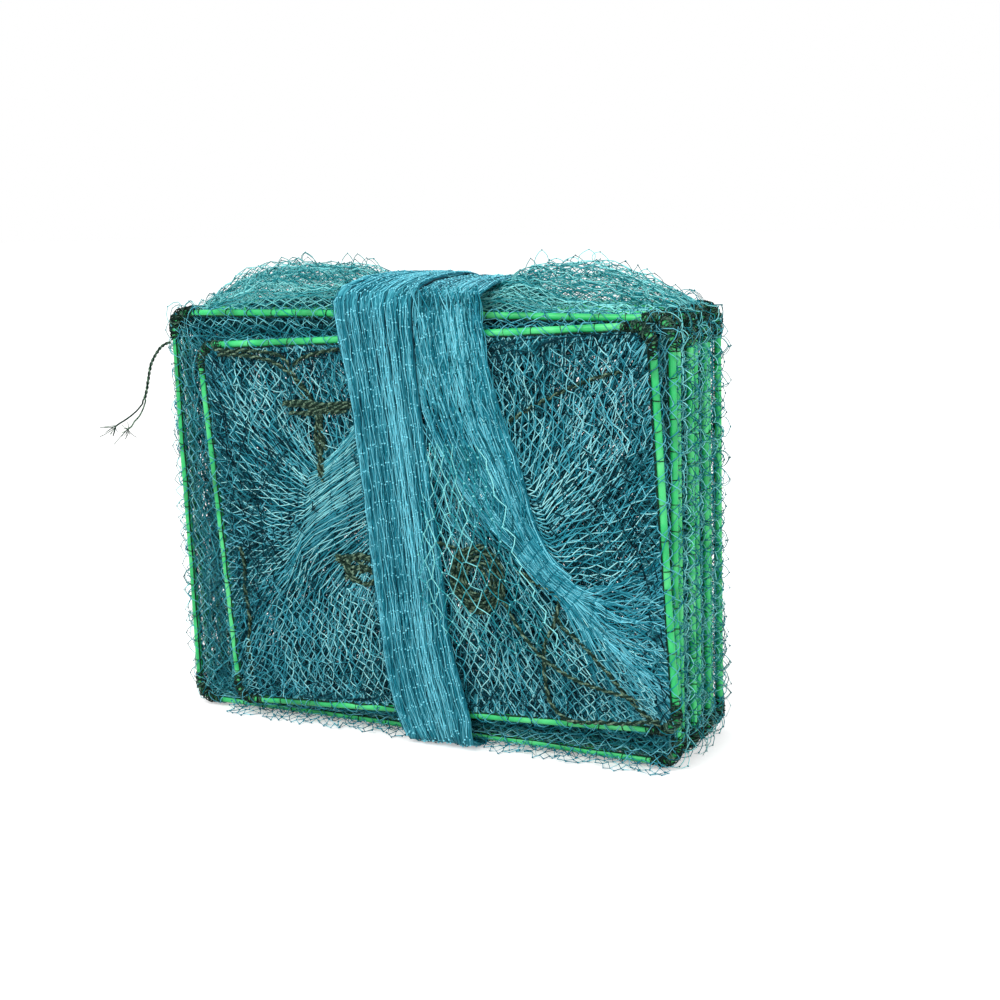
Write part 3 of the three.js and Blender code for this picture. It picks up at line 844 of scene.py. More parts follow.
def bayPiece(k, span, *values, stands=None, **more):
    # A net that stretches between two hoops
    net = netPiece(*values, span=span, **more)
    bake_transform(net)
    if stands:
        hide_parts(stands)


def between(near, far, u, v):
    # Across, up and the direction outwards, at a share of the loop and of the way
    x1, z1 = onHoop(near, u)
    x2, z2 = onHoop(far, u)
    turn = np.interp(np.mod(u, 1), near["loop"]["share"], near["loop"]["table"][:, 2])
    return x1 + (x2 - x1) * v, z1 + (z2 - z1) * v, turn


def movedOut(x, y, z, turn, out):
    return np.stack([x + np.cos(turn) * out, y, z + np.sin(turn) * out], -1)


def spanned(v, span):
    return span[0] + settled(v) * (span[1] - span[0])


def tableAt(table, share, column):
    return np.interp(share, table[:, 0], table[:, column])


def settled(share):
    # Where a row lies in the folded bay, so that the rows stand evenly when it opens
    return 0.5 - np.sin(np.arcsin(1 - 2 * np.clip(share, 0, 1)) / 3)


bayNet = {
    "thickness": 0.00058,
    "knot": 0.00115,
    "columns": 112,
    "rows": 22,
    "knotted": (0, 1, 2, 7),    # the bays whose knots can be seen
    "sideFold": -0.0095,
    "sideLoop": 0.0075,
    "underFold": -0.0050,
    "underLoop": 0.0040,
    "endFold": -0.0120,
    "puffHigh": 0.0262,
    "puffBays": [0, 0.6, 0.85, 1, 1, 0.85, 0.6, 0],
    "puffPlaces": [0.0, 0.08, 0.20, 0.36, 0.42, 0.65, 0.71, 0.82, 0.92, 1.0],
    "puffRises": [0.1, 0.75, 1, 0.92, 0.55, 0.55, 0.96, 0.98, 0.55, 0.06],
    "dipPlaces": [0.0, 0.06, 0.18, 0.68, 0.80, 1.0],
    "dipShares": [1, 1, 0, 0, 1, 1],
    "dipBays": [1, 0.12, 0.3, 0.6, 1, 1, 1, 1],
    "fringeRows": (0.28, 0.5, 0.72),
    "fringePitch": 0.0088,
    "fringeTall": (0.0010, 0.0070),
    "fringeSteps": 8,
    "fringeGone": 0.3,          # share of the loops that are left out
    "fringeJitter": 0.0004,
    "fringeBeside": 0.0038,
    "jitter": 0.0007,
    "clear": 0.0027,
    "knotRoom": 0.0036,
    "endClear": 0.0005,
    "floor": 0.0003,
}


def foldHeight(k, x, z, near, loops):
    # How far the middle of a folded bay stands out from the hoops: in at the sides, up on top
    halfWide, halfTall = near["halfWide"], near["halfTall"]
    placeOnTop = np.clip((x - near["x"]) / (2 * halfWide) + 0.5, 0, 1)
    rise = np.interp(placeOnTop, bayNet["puffPlaces"], bayNet["puffRises"])
    dip = np.interp(placeOnTop, bayNet["dipPlaces"], bayNet["dipShares"])
    rise = rise * (1 - dip * (1 - bayNet["dipBays"][k]))
    rise = rise * bayNet["puffHigh"] * bayNet["puffBays"][k]
    top = np.clip((z - near["z"]) / halfTall * 6 - 5, 0, 1)
    bottom = np.clip((near["z"] - z) / halfTall * 6 - 5, 0, 1)
    beside = bayNet["sideFold"] + (bayNet["sideLoop"] - bayNet["sideFold"]) * loops
    under = bayNet["underFold"] + (bayNet["underLoop"] - bayNet["underFold"]) * loops
    side = beside * (1 - bottom) + under * bottom
    return side * (1 - top) + rise * top


def fringeLines(k, near, far, span):
    # Slack meshes that stand out in small loops over the top, at the sides and underneath
    rng = np.random.RandomState(220 + k)
    lines = []
    count = int(near["loop"]["length"] / bayNet["fringePitch"])
    steps = bayNet["fringeSteps"]
    index = np.arange(count * steps) // steps
    within = (np.arange(count * steps) % steps) / steps
    for v in bayNet["fringeRows"]:
        sizes = rng.uniform(*bayNet["fringeTall"], count)
        gone = rng.uniform(size=count) < bayNet["fringeGone"]
        share = np.arange(count * steps) / (count * steps)
        peak = (1 - np.abs(2 * within - 1)) ** 0.8
        sideways = 0.35 * np.sin(math.tau * within) * (1 + 0.5 * rng.normal(size=count)[index])
        lean = 0.5 * rng.normal(size=count)[index] * peak
        u = share - (sideways * 0.4 + lean * 0.3) * bayNet["fringePitch"] / near["loop"]["length"]
        x, z, turn = between(near, far, u, v)
        base = foldHeight(k, x, z, near, np.zeros(len(u)))
        base = np.where(base > 0, base * math.sin(math.pi * v) ** 0.8, bayNet["fringeBeside"])
        out = base + np.where(gone, 0.0, sizes)[index] * peak - np.where(gone, 0.003, 0.0)[index]
        y = spanned(v, span)
        y = y + bayNet["fringeJitter"] * rng.normal(size=count)[index] / stretchAt(y, span)
        path = movedOut(x, y, z, turn, out)
        marks = np.arange(count * steps) % (steps // 2) == 0
        lines.append((path, True, rng.uniform(), marks))
    return lines


def makeBayNet(k):
    near, far = hoops[k], hoops[k + 1]
    ends = k == 0 or k == len(hoops) - 2
    first, last = bayNet["clear"], bayNet["clear"] + bayNet["knotRoom"]
    if ends:
        first = last = bayNet["endClear"]
    span = (near["y"] + first, far["y"] - last)
    ripple = waves(100 + k, 7, 9)
    slow = waves(160 + k, 5, 7)
    loop = waves(180 + k, 8, 70)

    def place(u, v):
        x, z, turn = between(near, far, u, v)
        loops = np.clip(loop(u, 0.4 * v) * 3.2 - 2.2, 0, 1)
        if ends:
            out = bayNet["endFold"] * (1 + 0.3 * slow(u, v)) - hoopShape["sleeveThick"] / 2
        else:
            out = foldHeight(k, x, z, near, loops)
        wave = 1 + 0.10 * ripple(u, v) + 0.10 * np.sin(4 * math.pi * v + 3 * slow(u, 0 * v))
        return movedOut(x, spanned(v, span), z, turn, out * np.sin(math.pi * v) ** 0.8 * wave)

    extra = [] if ends else fringeLines(k, near, far, span)
    bayPiece(k, span, f"bayNet{k + 1}", place, bayNet, bodyNet, 200 + k, k, extra,
             along=False, tied=k in bayNet["knotted"], floor=bayNet["floor"],
             stands=f"bay_net_{k + 1}")


bayFill = {
    "thickness": 0.00095,
    "columns": 116,
    "frontColumns": 64,
    "rows": 14,
    "pleats": 3,
    "near": 0.0012,
    "far": 0.0175,
    "beside": (0.0004, 0.0026),
    "jitter": 0.0007,
    "bellyColumns": 28,
    "bellyFrom": (0.424, 0.606),    # share of the hoop's loop, along its top bar
    "bellyShare": 0.62,             # of the height of the net above
    "bellyPleat": 0.003,
}


def makeBayFill(k):
    # The slack of the bay lies gathered inside the bars, and stays by its hoop; only the two
    # sloping end bays draw theirs out
    near, far = hoops[k], hoops[k + 1]
    ends = k == 0 or k == len(hoops) - 2
    span = (near["y"] + bayNet["clear"], far["y"] - bayNet["clear"])
    slow = waves(260 + k, 6, 9)

    def place(u, v):
        x, z, turn = between(near, far, u, v)
        wave = np.abs(np.sin(math.pi * (bayFill["pleats"] * v + 0.4 * slow(u, 0 * v))))
        out = -bayFill["near"] - (bayFill["far"] - bayFill["near"]) * wave
        if not ends:
            onLeft = np.clip((near["x"] - x) / near["halfWide"] * 12 - 11, 0, 1)
            close, away = bayFill["beside"]
            out = out * (1 - onLeft) + (close + (away - close) * wave) * onLeft
        return movedOut(x, spanned(v, span), z, turn, out)

    columns = bayFill["columns"] if k else bayFill["frontColumns"]
    # The gathered slack is painted half shade
    what = (f"bayFill{k + 1}", place, bayFill, paintedHalfShadeNet, 270 + k, k)
    if ends:
        bayPiece(k, span, *what, columns=columns, along=False, tied=False)
    else:
        hoopPiece(near, "net", *what, columns=columns, along=False, tied=False)


def makeBellyFill(k):
    # Slack net under the belly
    near, far = hoops[k], hoops[k + 1]
    span = (near["y"] + bayNet["clear"], far["y"] - bayNet["clear"])
    slow = waves(280 + k, 6, 9)

    def place(u, v):
        low, high = bayFill["bellyFrom"]
        share = low + (high - low) * u
        x, z, turn = between(near, far, share, v)
        wave = np.abs(np.sin(math.pi * (bayFill["pleats"] * v + 0.4 * slow(share, 0 * v))))
        belly = foldHeight(k, x, z, near, 0 * u) * np.sin(math.pi * v) ** 0.8
        belly = belly * np.sin(math.pi * u) ** 0.3
        z = z + belly * bayFill["bellyShare"] - bayFill["bellyPleat"] * wave
        return np.stack([x, spanned(v, span), z], -1)

    # Painted half shade, as the slack lies under the belly
    bayPiece(k, span, f"bellyFill{k + 1}", place, bayFill, paintedHalfShadeNet, 290 + k, k, closed=False,
             columns=bayFill["bellyColumns"], along=False, tied=False)


endNet = {
    "thickness": 0.00056,
    "knot": 0.00115,
    "columns": 100,
    "rows": 5,
    "fold": 0.0016,
    "past": 0.0004,
    "jitter": 0.0009,
    "bow": 0.0003,
}


def makeEndNet(k):
    # The outer side of the first and the last bay, stretched between a small hoop and a large one
    near, far = hoops[k], hoops[k + 1]
    span = (near["y"] - endNet["past"], far["y"] + endNet["past"])
    ripple = waves(290 + k, 7, 24)

    def place(u, v):
        x, z, turn = between(near, far, u, v)
        out = endNet["fold"] * (ripple(u, v) - 0.3) * np.sin(math.pi * v)
        return movedOut(x, spanned(v, span), z, turn, out)

    bayPiece(k, span, f"endNet{k + 1}", place, endNet, tealNet, 295 + k, k, along=False,
             floor=bayNet["floor"])


for k in range(len(hoops) - 1):
    makeBayNet(k)
    makeBayFill(k)
for k in range(1, len(hoops) - 2):
    makeBellyFill(k)
makeEndNet(0)
makeEndNet(len(hoops) - 2)
print("Bay nets made")


# Inner funnels and side entries: nets that narrow to a throat

funnelNet = {
    "thickness": 0.00064,
    "columns": 84,
    "rows": 13,
    "throat": 0.42,         # of the hoop's size
    "sag": 0.030,
    "slack": 0.0045,
    "reach": 0.005,
    "jitter": 0.0009,
}


def makeFunnel(k):
    near, far = hoops[k], hoops[k + 1]
    small = funnelNet["throat"]
    throat = loopTable(near["halfWide"] * small, near["halfTall"] * small, hoopShape["corner"])
    reach = min(funnelNet["reach"], (far["y"] - near["y"]) * 0.5)
    ripple = waves(300 + k, 7, 14)
    droop = waves(340 + k, 4, 5)

    def place(u, v):
        rimX, rimZ = onLoop(near["loop"], u, -hoopShape["sleeveThick"] / 2)
        endX, endZ = onLoop(throat, u)
        endZ = endZ - funnelNet["sag"] * (0.6 + 0.4 * droop(u, 0 * u)) * (endZ > 0)
        x, z = rimX + (endX - rimX) * v, rimZ + (endZ - rimZ) * v
        z = z - funnelNet["slack"] * np.sin(math.pi * v) * (1 + droop(u, v))
        x, z = placedXZ(near, x, z)
        y = near["y"] + reach * (v + 0.16 * ripple(u, v) * np.sin(math.pi * v))
        return np.stack([x, y, z], -1)

    # Painted shade: the inner funnels take the near-black copy of the net
    bayPiece(k, (near["y"], far["y"]), f"innerFunnel{k + 1}", place, funnelNet, paintedShadeNet,
             400 + k, k, tied=False, stands=f"inner_funnel_{k + 1}")


entryNet = {
    "thickness": 0.00052,
    "columns": 40,
    "rows": 10,
    "jitter": 0.0008,
    "squeeze": 0.42,
    "room": 0.0004,
}


def makeSideEntry(k):
    near, far = hoops[k], hoops[k + 1]
    low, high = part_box(f"side_entry_{k + 1}")
    onLeft = abs(low.x) > abs(high.x)
    mouth, tip = (low.x, high.x) if onLeft else (high.x, low.x)
    middleY, middleZ = (low.y + high.y) / 2, (low.z + high.z) / 2
    halfTall, halfDeep = (high.z - low.z) / 2, (high.y - low.y) / 2 - entryNet["room"]
    ripple = waves(500 + k, 5, 9)

    def place(u, v):
        tall = halfTall * (1 + (entryNet["squeeze"] - 1) * v ** 0.8)
        z = middleZ + tall * np.cos(math.tau * u) * (1 + 0.05 * ripple(u, v))
        y = middleY + halfDeep * np.sin(math.tau * u)
        return np.stack([mouth + (tip - mouth) * v, y, z], -1)

    bayPiece(k, (near["y"], far["y"]), f"sideEntry{k + 1}", place, entryNet, tealNet,
             520 + k, k, tied=False, stands=f"side_entry_{k + 1}")


for k in range(len(hoops) - 1):
    makeFunnel(k)
for k in range(1, len(hoops) - 2):
    makeSideEntry(k)
print("Funnels and side entries made")


# The front tail net: it runs from the small hoop's rim to a waist, and on under the band

tailFan = {
    "thickness": 0.00064,
    "knot": 0.00105,
    "columns": 134,
    "rows": 14,
    "jitter": 0.0003,
    "bow": 0.00022,
    "waistAt": 0.66,
    "faceDeep": 0.0012,
    "depth": 0.0034,
    "sag": 0.0035,
    "sway": 0.0022,
    # share of the rim, waist across and up, end across and up
    "ways": [
        (0.000, 0.020, 0.150, 0.034, 0.200),
        (0.070, 0.046, 0.130, 0.040, 0.176),
        (0.110, 0.070, 0.118, 0.050, 0.160),
        (0.140, 0.116, 0.084, 0.096, 0.104),
        (0.200, 0.108, 0.094, 0.088, 0.110),
        (0.250, 0.099, 0.110, 0.078, 0.122),
        (0.300, 0.090, 0.127, 0.070, 0.138),
        (0.360, 0.082, 0.148, 0.062, 0.156),
        (0.400, 0.074, 0.164, 0.056, 0.172),
        (0.450, 0.062, 0.190, 0.048, 0.192),
        (0.500, 0.044, 0.206, 0.040, 0.206),
        (0.545, -0.012, 0.200, 0.004, 0.214),
        (0.585, -0.030, 0.182, -0.016, 0.196),
        (0.610, -0.047, 0.160, -0.020, 0.190),
        (0.640, -0.054, 0.152, -0.020, 0.184),
        (0.700, -0.060, 0.139, -0.016, 0.170),
        (0.790, -0.065, 0.123, -0.012, 0.154),
        (0.840, -0.066, 0.110, -0.010, 0.138),
        (0.880, -0.057, 0.088, -0.008, 0.128),
        (0.920, -0.042, 0.080, 0.002, 0.130),
        (0.955, -0.018, 0.100, 0.016, 0.150),
        (1.000, 0.020, 0.150, 0.034, 0.200),
    ],
}


def makeTailFan(name, finish, layer, seed, shift=(0.0, 0.0), columns=0, around=0.0, stands=None):
    front = hoops[0]
    ways = np.array(tailFan["ways"])
    ripple = waves(seed, 7, 16)
    slow = waves(seed + 1, 5, 6)

    def place(u, v):
        u = u + around
        rimX, rimZ = onHoop(front, u, -hoopShape["sleeveThick"] / 2)
        waistX, waistZ, endX, endZ = (tableAt(ways, np.mod(u, 1), i) for i in (1, 2, 3, 4))
        waistX, waistZ = waistX + shift[0], waistZ + shift[1]
        at = tailFan["waistAt"]
        first = np.clip(v / at, 0, 1) ** 0.92
        last = np.clip((v - at) / (1 - at), 0, 1)
        x = rimX + (waistX - rimX) * first + (endX - waistX) * last
        z = rimZ + (waistZ - rimZ) * first + (endZ - waistZ) * last
        z = z - tailFan["sag"] * np.sin(math.pi * v) * (1 + slow(u, v))
        x = x + tailFan["sway"] * slow(u, v) * np.sin(math.pi * v)
        depth = tailFan["depth"] * v * (0.8 + 0.2 * ripple(u, v))
        y = front["y"] - tailFan["faceDeep"] - layer * first - depth
        return np.stack([x, y, z], -1)

    hoopPiece(front, "tail_net", name, place, tailFan, finish, seed, seed, columns=columns,
              stands=stands)


# The front layer is painted lit and the deepest painted half shade; the middle one keeps the plain
# teal
makeTailFan("frontTailNet", paintedLitNet, 0.0004, 600, stands="front_tail_net")
makeTailFan("frontTailNetInner", tealNet, -0.0010, 620, (0.003, -0.010), 112, 0.004)
makeTailFan("frontTailNetDeep", paintedHalfShadeNet, -0.0022, 630, (-0.004, 0.006), 120, -0.005)


# Meshes that stand open above the small hoop's lower bar and below its top bar

lowNet = {
    "thickness": 0.00064,
    "knot": 0.00115,
    "columns": 42,
    "rows": 17,
    "jitter": 0.00055,
    "bow": 0.0003,
    # share of the width, and the free edge there: across and up
    "edge": [
        (0.0, -0.112, 0.046),
        (0.12, -0.086, 0.074),
        (0.25, -0.058, 0.079),
        (0.36, -0.034, 0.088),
        (0.5, 0.006, 0.104),
        (0.62, 0.042, 0.108),
        (0.76, 0.082, 0.104),
        (0.88, 0.118, 0.076),
        (1.0, 0.148, 0.046),
    ],
    "shares": (0.866, 1.136),
    "faceDeep": (0.0012, 0.0052),
}
topNet = {
    "thickness": 0.00062,
    "knot": 0.00110,
    "columns": 38,
    "rows": 11,
    "jitter": 0.0007,
    "bow": 0.0004,
    "edge": [
        (0.0, 0.146, 0.176),
        (0.14, 0.122, 0.172),
        (0.26, 0.094, 0.158),
        (0.4, 0.058, 0.160),
        (0.6, -0.010, 0.165),
        (0.7, -0.036, 0.152),
        (0.82, -0.070, 0.168),
        (0.92, -0.094, 0.178),
        (1.0, -0.108, 0.184),
    ],
    "shares": (0.368, 0.632),
    "faceDeep": (0.0010, 0.0037),
}


def makeOpenNet(name, settings, seed):
    front = hoops[0]
    edge = np.array(settings["edge"])
    ripple = waves(seed, 6, 9)
    slow = waves(seed + 1, 5, 5)

    def place(u, v):
        start, end = settings["shares"]
        rimX, rimZ = onHoop(front, start + (end - start) * u, -hoopShape["sleeveThick"] / 2)
        freeX, freeZ = tableAt(edge, u, 1), tableAt(edge, u, 2) + 0.004 * ripple(u, 0 * u)
        sway = 0.0018 * np.sin(math.pi * v)
        x = rimX + (freeX - rimX) * v + sway * slow(u, v)
        z = rimZ + (freeZ - rimZ) * v + sway * slow(v, u)
        near, deep = settings["faceDeep"]
        y = front["y"] - near - (deep - near) * np.minimum(1, 2.5 * v) + 0.0003 * ripple(u, v)
        return np.stack([x, y, z], -1)

    # The open nets take the painted lit copy of the teal net
    hoopPiece(front, "tail_net", name, place, settings, paintedLitNet, seed + 2, 12, closed=False)


makeOpenNet("lowNet", lowNet, 640)
makeOpenNet("topNet", topNet, 643)


# The tail's bag lies folded behind the fans, in dense layers painted half shade and shade

tailBag = {
    "thickness": 0.00075,
    "columns": 46,
    "rows": 56,
    "jitter": 0.0013,
    "inset": 0.0035,
    "deep": 0.0004,
    "step": 0.0003,
    "swirl": 0.010,
    # lean in degrees and spread of each layer
    "layers": [(5, 1.00), (-11, 0.97), (24, 1.00), (-31, 0.98), (48, 1.00)],
    "rearLayers": 4,
    "dimLayers": 3,
    "openLayer": 1,
    "rearShaded": 1,
}


def makeTailBag(name, hoop, side, number):
    lean, spread = tailBag["layers"][number]
    ripple = waves(670 + number + 10 * (side > 0), 7, 9)
    lean = math.radians(lean)

    def place(u, v):
        wide = hoop["halfWide"] - tailBag["inset"]
        tall = hoop["halfTall"] - tailBag["inset"]
        x, z = (2 * u - 1) * wide * spread, (2 * v - 1) * tall * spread
        swirl = (1 - np.abs(2 * u - 1) ** 3) * (1 - np.abs(2 * v - 1) ** 3)
        turnX = x * math.cos(lean) - z * math.sin(lean)
        turnZ = x * math.sin(lean) + z * math.cos(lean)
        bent = tailBag["swirl"] * swirl
        x = x + (turnX - x) * swirl + bent * ripple(v, u)
        z = z + (turnZ - z) * swirl + bent * ripple(u, v + 0.4)
        x, z = placedXZ(hoop, np.clip(x, -wide, wide), np.clip(z, -tall, tall))
        y = hoop["y"] + side * (tailBag["deep"] + tailBag["step"] * number) + 0 * x
        return np.stack([x, y, z], -1)

    # Some layers are painted half shade and the rest painted shade; one front layer keeps the plain
    # teal
    outer = number < tailBag["dimLayers"] if side < 0 else number > tailBag["rearShaded"]
    finish = paintedHalfShadeNet if outer else paintedShadeNet
    if side < 0 and number == tailBag["openLayer"]:
        finish = tealNet
    hoopPiece(hoop, "tail_net", name, place, tailBag, finish, 680 + number + 10 * (side > 0),
              number, closed=False, tied=False)


for number in range(len(tailBag["layers"])):
    makeTailBag(f"frontTailBag{number + 1}", hoops[0], -1, number)
for number in range(tailBag["rearLayers"]):
    makeTailBag(f"rearTailBag{number + 1}", hoops[-1], 1, number)
print("Front tail net made")


# Open meshes that hang before the coiled draw cord

tailVeil = {
    "thickness": 0.00068,
    "knot": 0.0014,
    "columns": 8,
    "rows": 17,
    "jitter": 0.0005,
    "bow": 0.0003,
    "topAcross": (0.014, 0.052),
    "topUp": 0.172,
    "bottomAcross": (0.012, 0.104),
    "bottomUp": (0.062, 0.060),
    "drift": 0.004,
    "faceDeep": [(0.0, 0.0036), (0.14, 0.0046), (0.36, 0.0057), (1.0, 0.0057)],
    "bulge": 0.0085,
    "bulgeAt": (0.052, 0.100),
    "bulgeReach": (0.040, 0.048),
}


def makeTailVeil():
    front = hoops[0]
    ripple = waves(690, 6, 7)

    def place(u, v):
        low, high = tailVeil["bottomAcross"]
        left, right = tailVeil["topAcross"]
        share = v ** 0.75
        x = (low + (high - low) * u) * (1 - share) + (left + (right - left) * u) * share
        x = x + tailVeil["drift"] * np.sin(math.pi * v) * u
        bottom = tailVeil["bottomUp"][0] + (tailVeil["bottomUp"][1] - tailVeil["bottomUp"][0]) * u
        z = bottom + (tailVeil["topUp"] - bottom) * v + 0.004 * ripple(u, v) * np.sin(math.pi * v)
        overX = (x - tailVeil["bulgeAt"][0]) / tailVeil["bulgeReach"][0]
        overZ = (z - tailVeil["bulgeAt"][1]) / tailVeil["bulgeReach"][1]
        hump = np.exp(-(overX ** 2 + overZ ** 2) ** 1.5)
        y = front["y"] - np.interp(v, *zip(*tailVeil["faceDeep"])) - tailVeil["bulge"] * hump
        return np.stack([x, y, z], -1)

    # Its knots are painted pale, as highlights
    hoopPiece(front, "tail_net", "tailVeil", place, tailVeil, bodyNet, 691, 9, closed=False,
              knotTone=0.7)


makeTailVeil()


# The tail's first stretch is a broad sheet that opens beside the outer band

tailSheet = {
    "thickness": 0.00066,
    "knot": 0.00125,
    "barLong": 0.0102,
    "jitter": 0.0004,
    "bow": 0.0003,
    "deep": 0.0050,
    "step": 0.00022,
    "slope": 0.012,
    "sway": 0.0016,
    # up, left edge and right edge
    "edges": [
        (0.110, 0.062, 0.090),
        (0.120, 0.030, 0.086),
        (0.130, 0.014, 0.081),
        (0.150, 0.012, 0.076),
        (0.176, 0.009, 0.066),
        (0.200, 0.005, 0.060),
        (0.232, 0.003, 0.056),
        (0.252, 0.002, 0.054),
    ],
    # columns, phase along, how much of the left is left out
    "layers": [(12, 0.0, 0.0), (12, 0.35, 0.05), (11, 0.7, 0.14), (9, 0.15, 0.0)],
    "dimLayers": 2,
}


def makeTailSheet(number):
    columns, phase, skip = tailSheet["layers"][number]
    front = hoops[0]
    edges = np.array(tailSheet["edges"])
    low, high = edges[0, 0], edges[-1, 0]
    rows = int((high - low) / tailSheet["barLong"])
    ripple = waves(720 + number, 6, 8)

    def place(u, v):
        gathered = 1 - (1 - u) ** 1.3
        across = skip + (1 - skip) * gathered
        z = low + (high - low) * v + phase * tailSheet["barLong"]
        z = z + tailSheet["slope"] * (1 - v) * (1 - u)
        z = np.minimum(z, high + 0.004)
        left, right = tableAt(edges, z, 1), tableAt(edges, z, 2)
        x = left + (right - left) * across + tailSheet["sway"] * ripple(u, v)
        y = front["y"] - tailSheet["deep"] - number * tailSheet["step"] + 0.0002 * ripple(v, u)
        return np.stack([x, y, z], -1)

    # The back two layers are painted half shade, the front ones keep the plain teal
    finish = paintedHalfShadeNet if number < tailSheet["dimLayers"] else tealNet
    # Its knots are painted pale, as highlights
    hoopPiece(front, "tail_net", f"tailSheet{number + 1}", place, tailSheet, finish,
              730 + number, number, columns=columns, rows=rows, closed=False, keepRim=False,
              knotTone=0.7)


for number in range(len(tailSheet["layers"])):
    makeTailSheet(number)
print("Veil and sheet made")


# Where the rope ends, its strands spread to the small hoop's right bar and lower corner

ropeFan = {
    "thickness": 0.00058,
    "knot": 0.00105,
    "columns": 34,
    "rows": 12,
    "jitter": 0.00035,
    "bow": 0.0003,
    "rim": (0.112, 0.240),
    "faceDeep": (0.0012, 0.0060),
    # share of the length, and the rope's middle and width there
    "rope": [
        (0.50, 0.1050, 0.0925, 0.0160),
        (0.62, 0.0985, 0.0975, 0.0130),
        (0.78, 0.0885, 0.1045, 0.0140),
        (1.00, 0.0760, 0.1190, 0.0170),
    ],
    "sag": 0.006,
    "sway": 0.002,
    "tilt": (0.65, 0.76),
}


def makeRopeFan(number):
    front = hoops[0]
    rope = np.array(ropeFan["rope"])
    begin = rope[0, 0]
    slow = waves(760 + number, 5, 6)

    def place(u, v):
        low, high = ropeFan["rim"]
        rimX, rimZ = onHoop(front, low + (high - low) * u, -hoopShape["sleeveThick"] / 2)
        middleX, middleZ, wide = (tableAt(rope, v, i) for i in (1, 2, 3))
        ropeX = middleX + ropeFan["tilt"][0] * wide * (u - 0.5)
        ropeZ = middleZ + ropeFan["tilt"][1] * wide * (u - 0.5)
        share = np.clip(v / begin, 0, 1) ** 0.95
        x, z = rimX + (ropeX - rimX) * share, rimZ + (ropeZ - rimZ) * share
        bend = np.sin(math.pi * share)
        z = z - ropeFan["sag"] * bend * (0.6 + slow(u, v) + 0.4 * number)
        x = x + ropeFan["sway"] * bend * slow(v, u)
        near, deep = ropeFan["faceDeep"]
        return np.stack([x, front["y"] - near - (deep - near) * share + 0.0003 * number, z], -1)

    hoopPiece(front, "tail_net", f"ropeFan{number + 1}", place, ropeFan, tealNet,
              765 + number, number, closed=False)


for number in range(2):
    makeRopeFan(number)


# The rear tail net: flat over the last hoop, drawn to a small tied mouth

rearTail = {
    "thickness": 0.0006,
    "knot": 0.0012,
    "columns": 100,
    "rows": 17,
    "jitter": 0.0008,
    "mouthWide": 0.013,
    "mouthTall": 0.009,
    "depth": (0.0014, 0.0030),
    "sag": 0.007,
    "sway": 0.003,
}


def makeRearTail():
    rear = hoops[-1]
    ripple = waves(650, 7, 16)
    slow = waves(651, 5, 6)
    near, deep = rearTail["depth"]

    def place(u, v):
        rimX, rimZ = onLoop(rear["loop"], u, -hoopShape["sleeveThick"] / 2)
        endX = rearTail["mouthWide"] * np.sin(math.tau * u)
        endZ = -rearTail["mouthTall"] * np.cos(math.tau * u)
        share = v ** 0.9
        x, z = rimX + (endX - rimX) * share, rimZ + (endZ - rimZ) * share
        z = z - rearTail["sag"] * np.sin(math.pi * v) * (1 + slow(u, v))
        x = x + rearTail["sway"] * slow(u, v) * np.sin(math.pi * v)
        x, z = placedXZ(rear, x, z)
        y = rear["y"] + near + (deep - near) * v * (0.8 + 0.2 * ripple(u, v))
        return np.stack([x, y, z], -1)

    hoopPiece(rear, "tail_net", "rearTailNet", place, rearTail, tailNet, 650, 650,
              stands="rear_tail_net")


makeRearTail()
print("Rear tail net made")


# The gathered tail, wound once and a half round the stack

tailBand = {
    "thickness": 0.00060,
    "knot": 0.00120,
    "rowPitch": 0.0103,
    "jitter": 0.00012,
    "bow": 0.00012,
    # columns in each pleat, phase of the knots, lift
    "layers": [(4, 0.0, 0.0), (3, 0.42, -0.0003)],
    "pleats": 6,
    "pleatFrom": 0.05,
    "pleatWide": 0.90,
    "pleatDeep": 0.0015,
    "stepUp": 0.35,             # of a row, from one pleat to the next
    "arch": 0.16,
    "faceDeep": 0.0049,
    "layer": 0.0023,
    "under": 0.0015,
    "toLeft": 0.00126,
    "eaves": 0.011,
    "crown": 0.017,
    "endTall": 0.150,
    "bendSteps": 5,
    "bend": 0.008,
    "half": 0.0006,
    "fanTo": 0.012,             # share of the length over which the lower end spreads
    "fanWide": 0.30,
    # on the front, as shares of the height and width: up, across and how wide
    "firstFace": [
        (0.405, 0.322, 0.042), (0.43, 0.291, 0.044), (0.50, 0.251, 0.058), (0.545, 0.226, 0.088),
        (0.64, 0.187, 0.130), (0.745, 0.146, 0.147), (0.835, 0.125, 0.150), (0.94, 0.111, 0.148),
    ],
    "outerFace": [
        (0.06, 0.064, 0.148), (0.11, 0.051, 0.153), (0.19, 0.036, 0.148), (0.26, 0.028, 0.143),
        (0.44, 0.016, 0.147), (0.63, 0.002, 0.142), (0.82, -0.013, 0.140), (0.90, -0.020, 0.148),
        (0.975, -0.026, 0.155),
    ],
    "coreColumns": 72,
    "coreEnd": 0.996,
    "coreThick": 0.0005,
    "coreRib": 0.00012,
    "coreRibs": 14,
    # share of the length, and the core's left and right edges there
    "coreEdges": [
        (0.000, 0.25, 0.75), (0.010, 0.08, 0.92), (0.021, 0.05, 0.97), (0.032, 0.30, 0.97),
        (0.054, 0.55, 0.97), (0.079, 0.60, 0.97), (0.100, 0.50, 0.97), (0.118, -0.04, 0.97),
        (0.150, -0.06, 0.97), (0.190, 0.01, 0.98), (1.000, 0.02, 0.98),
    ],
}


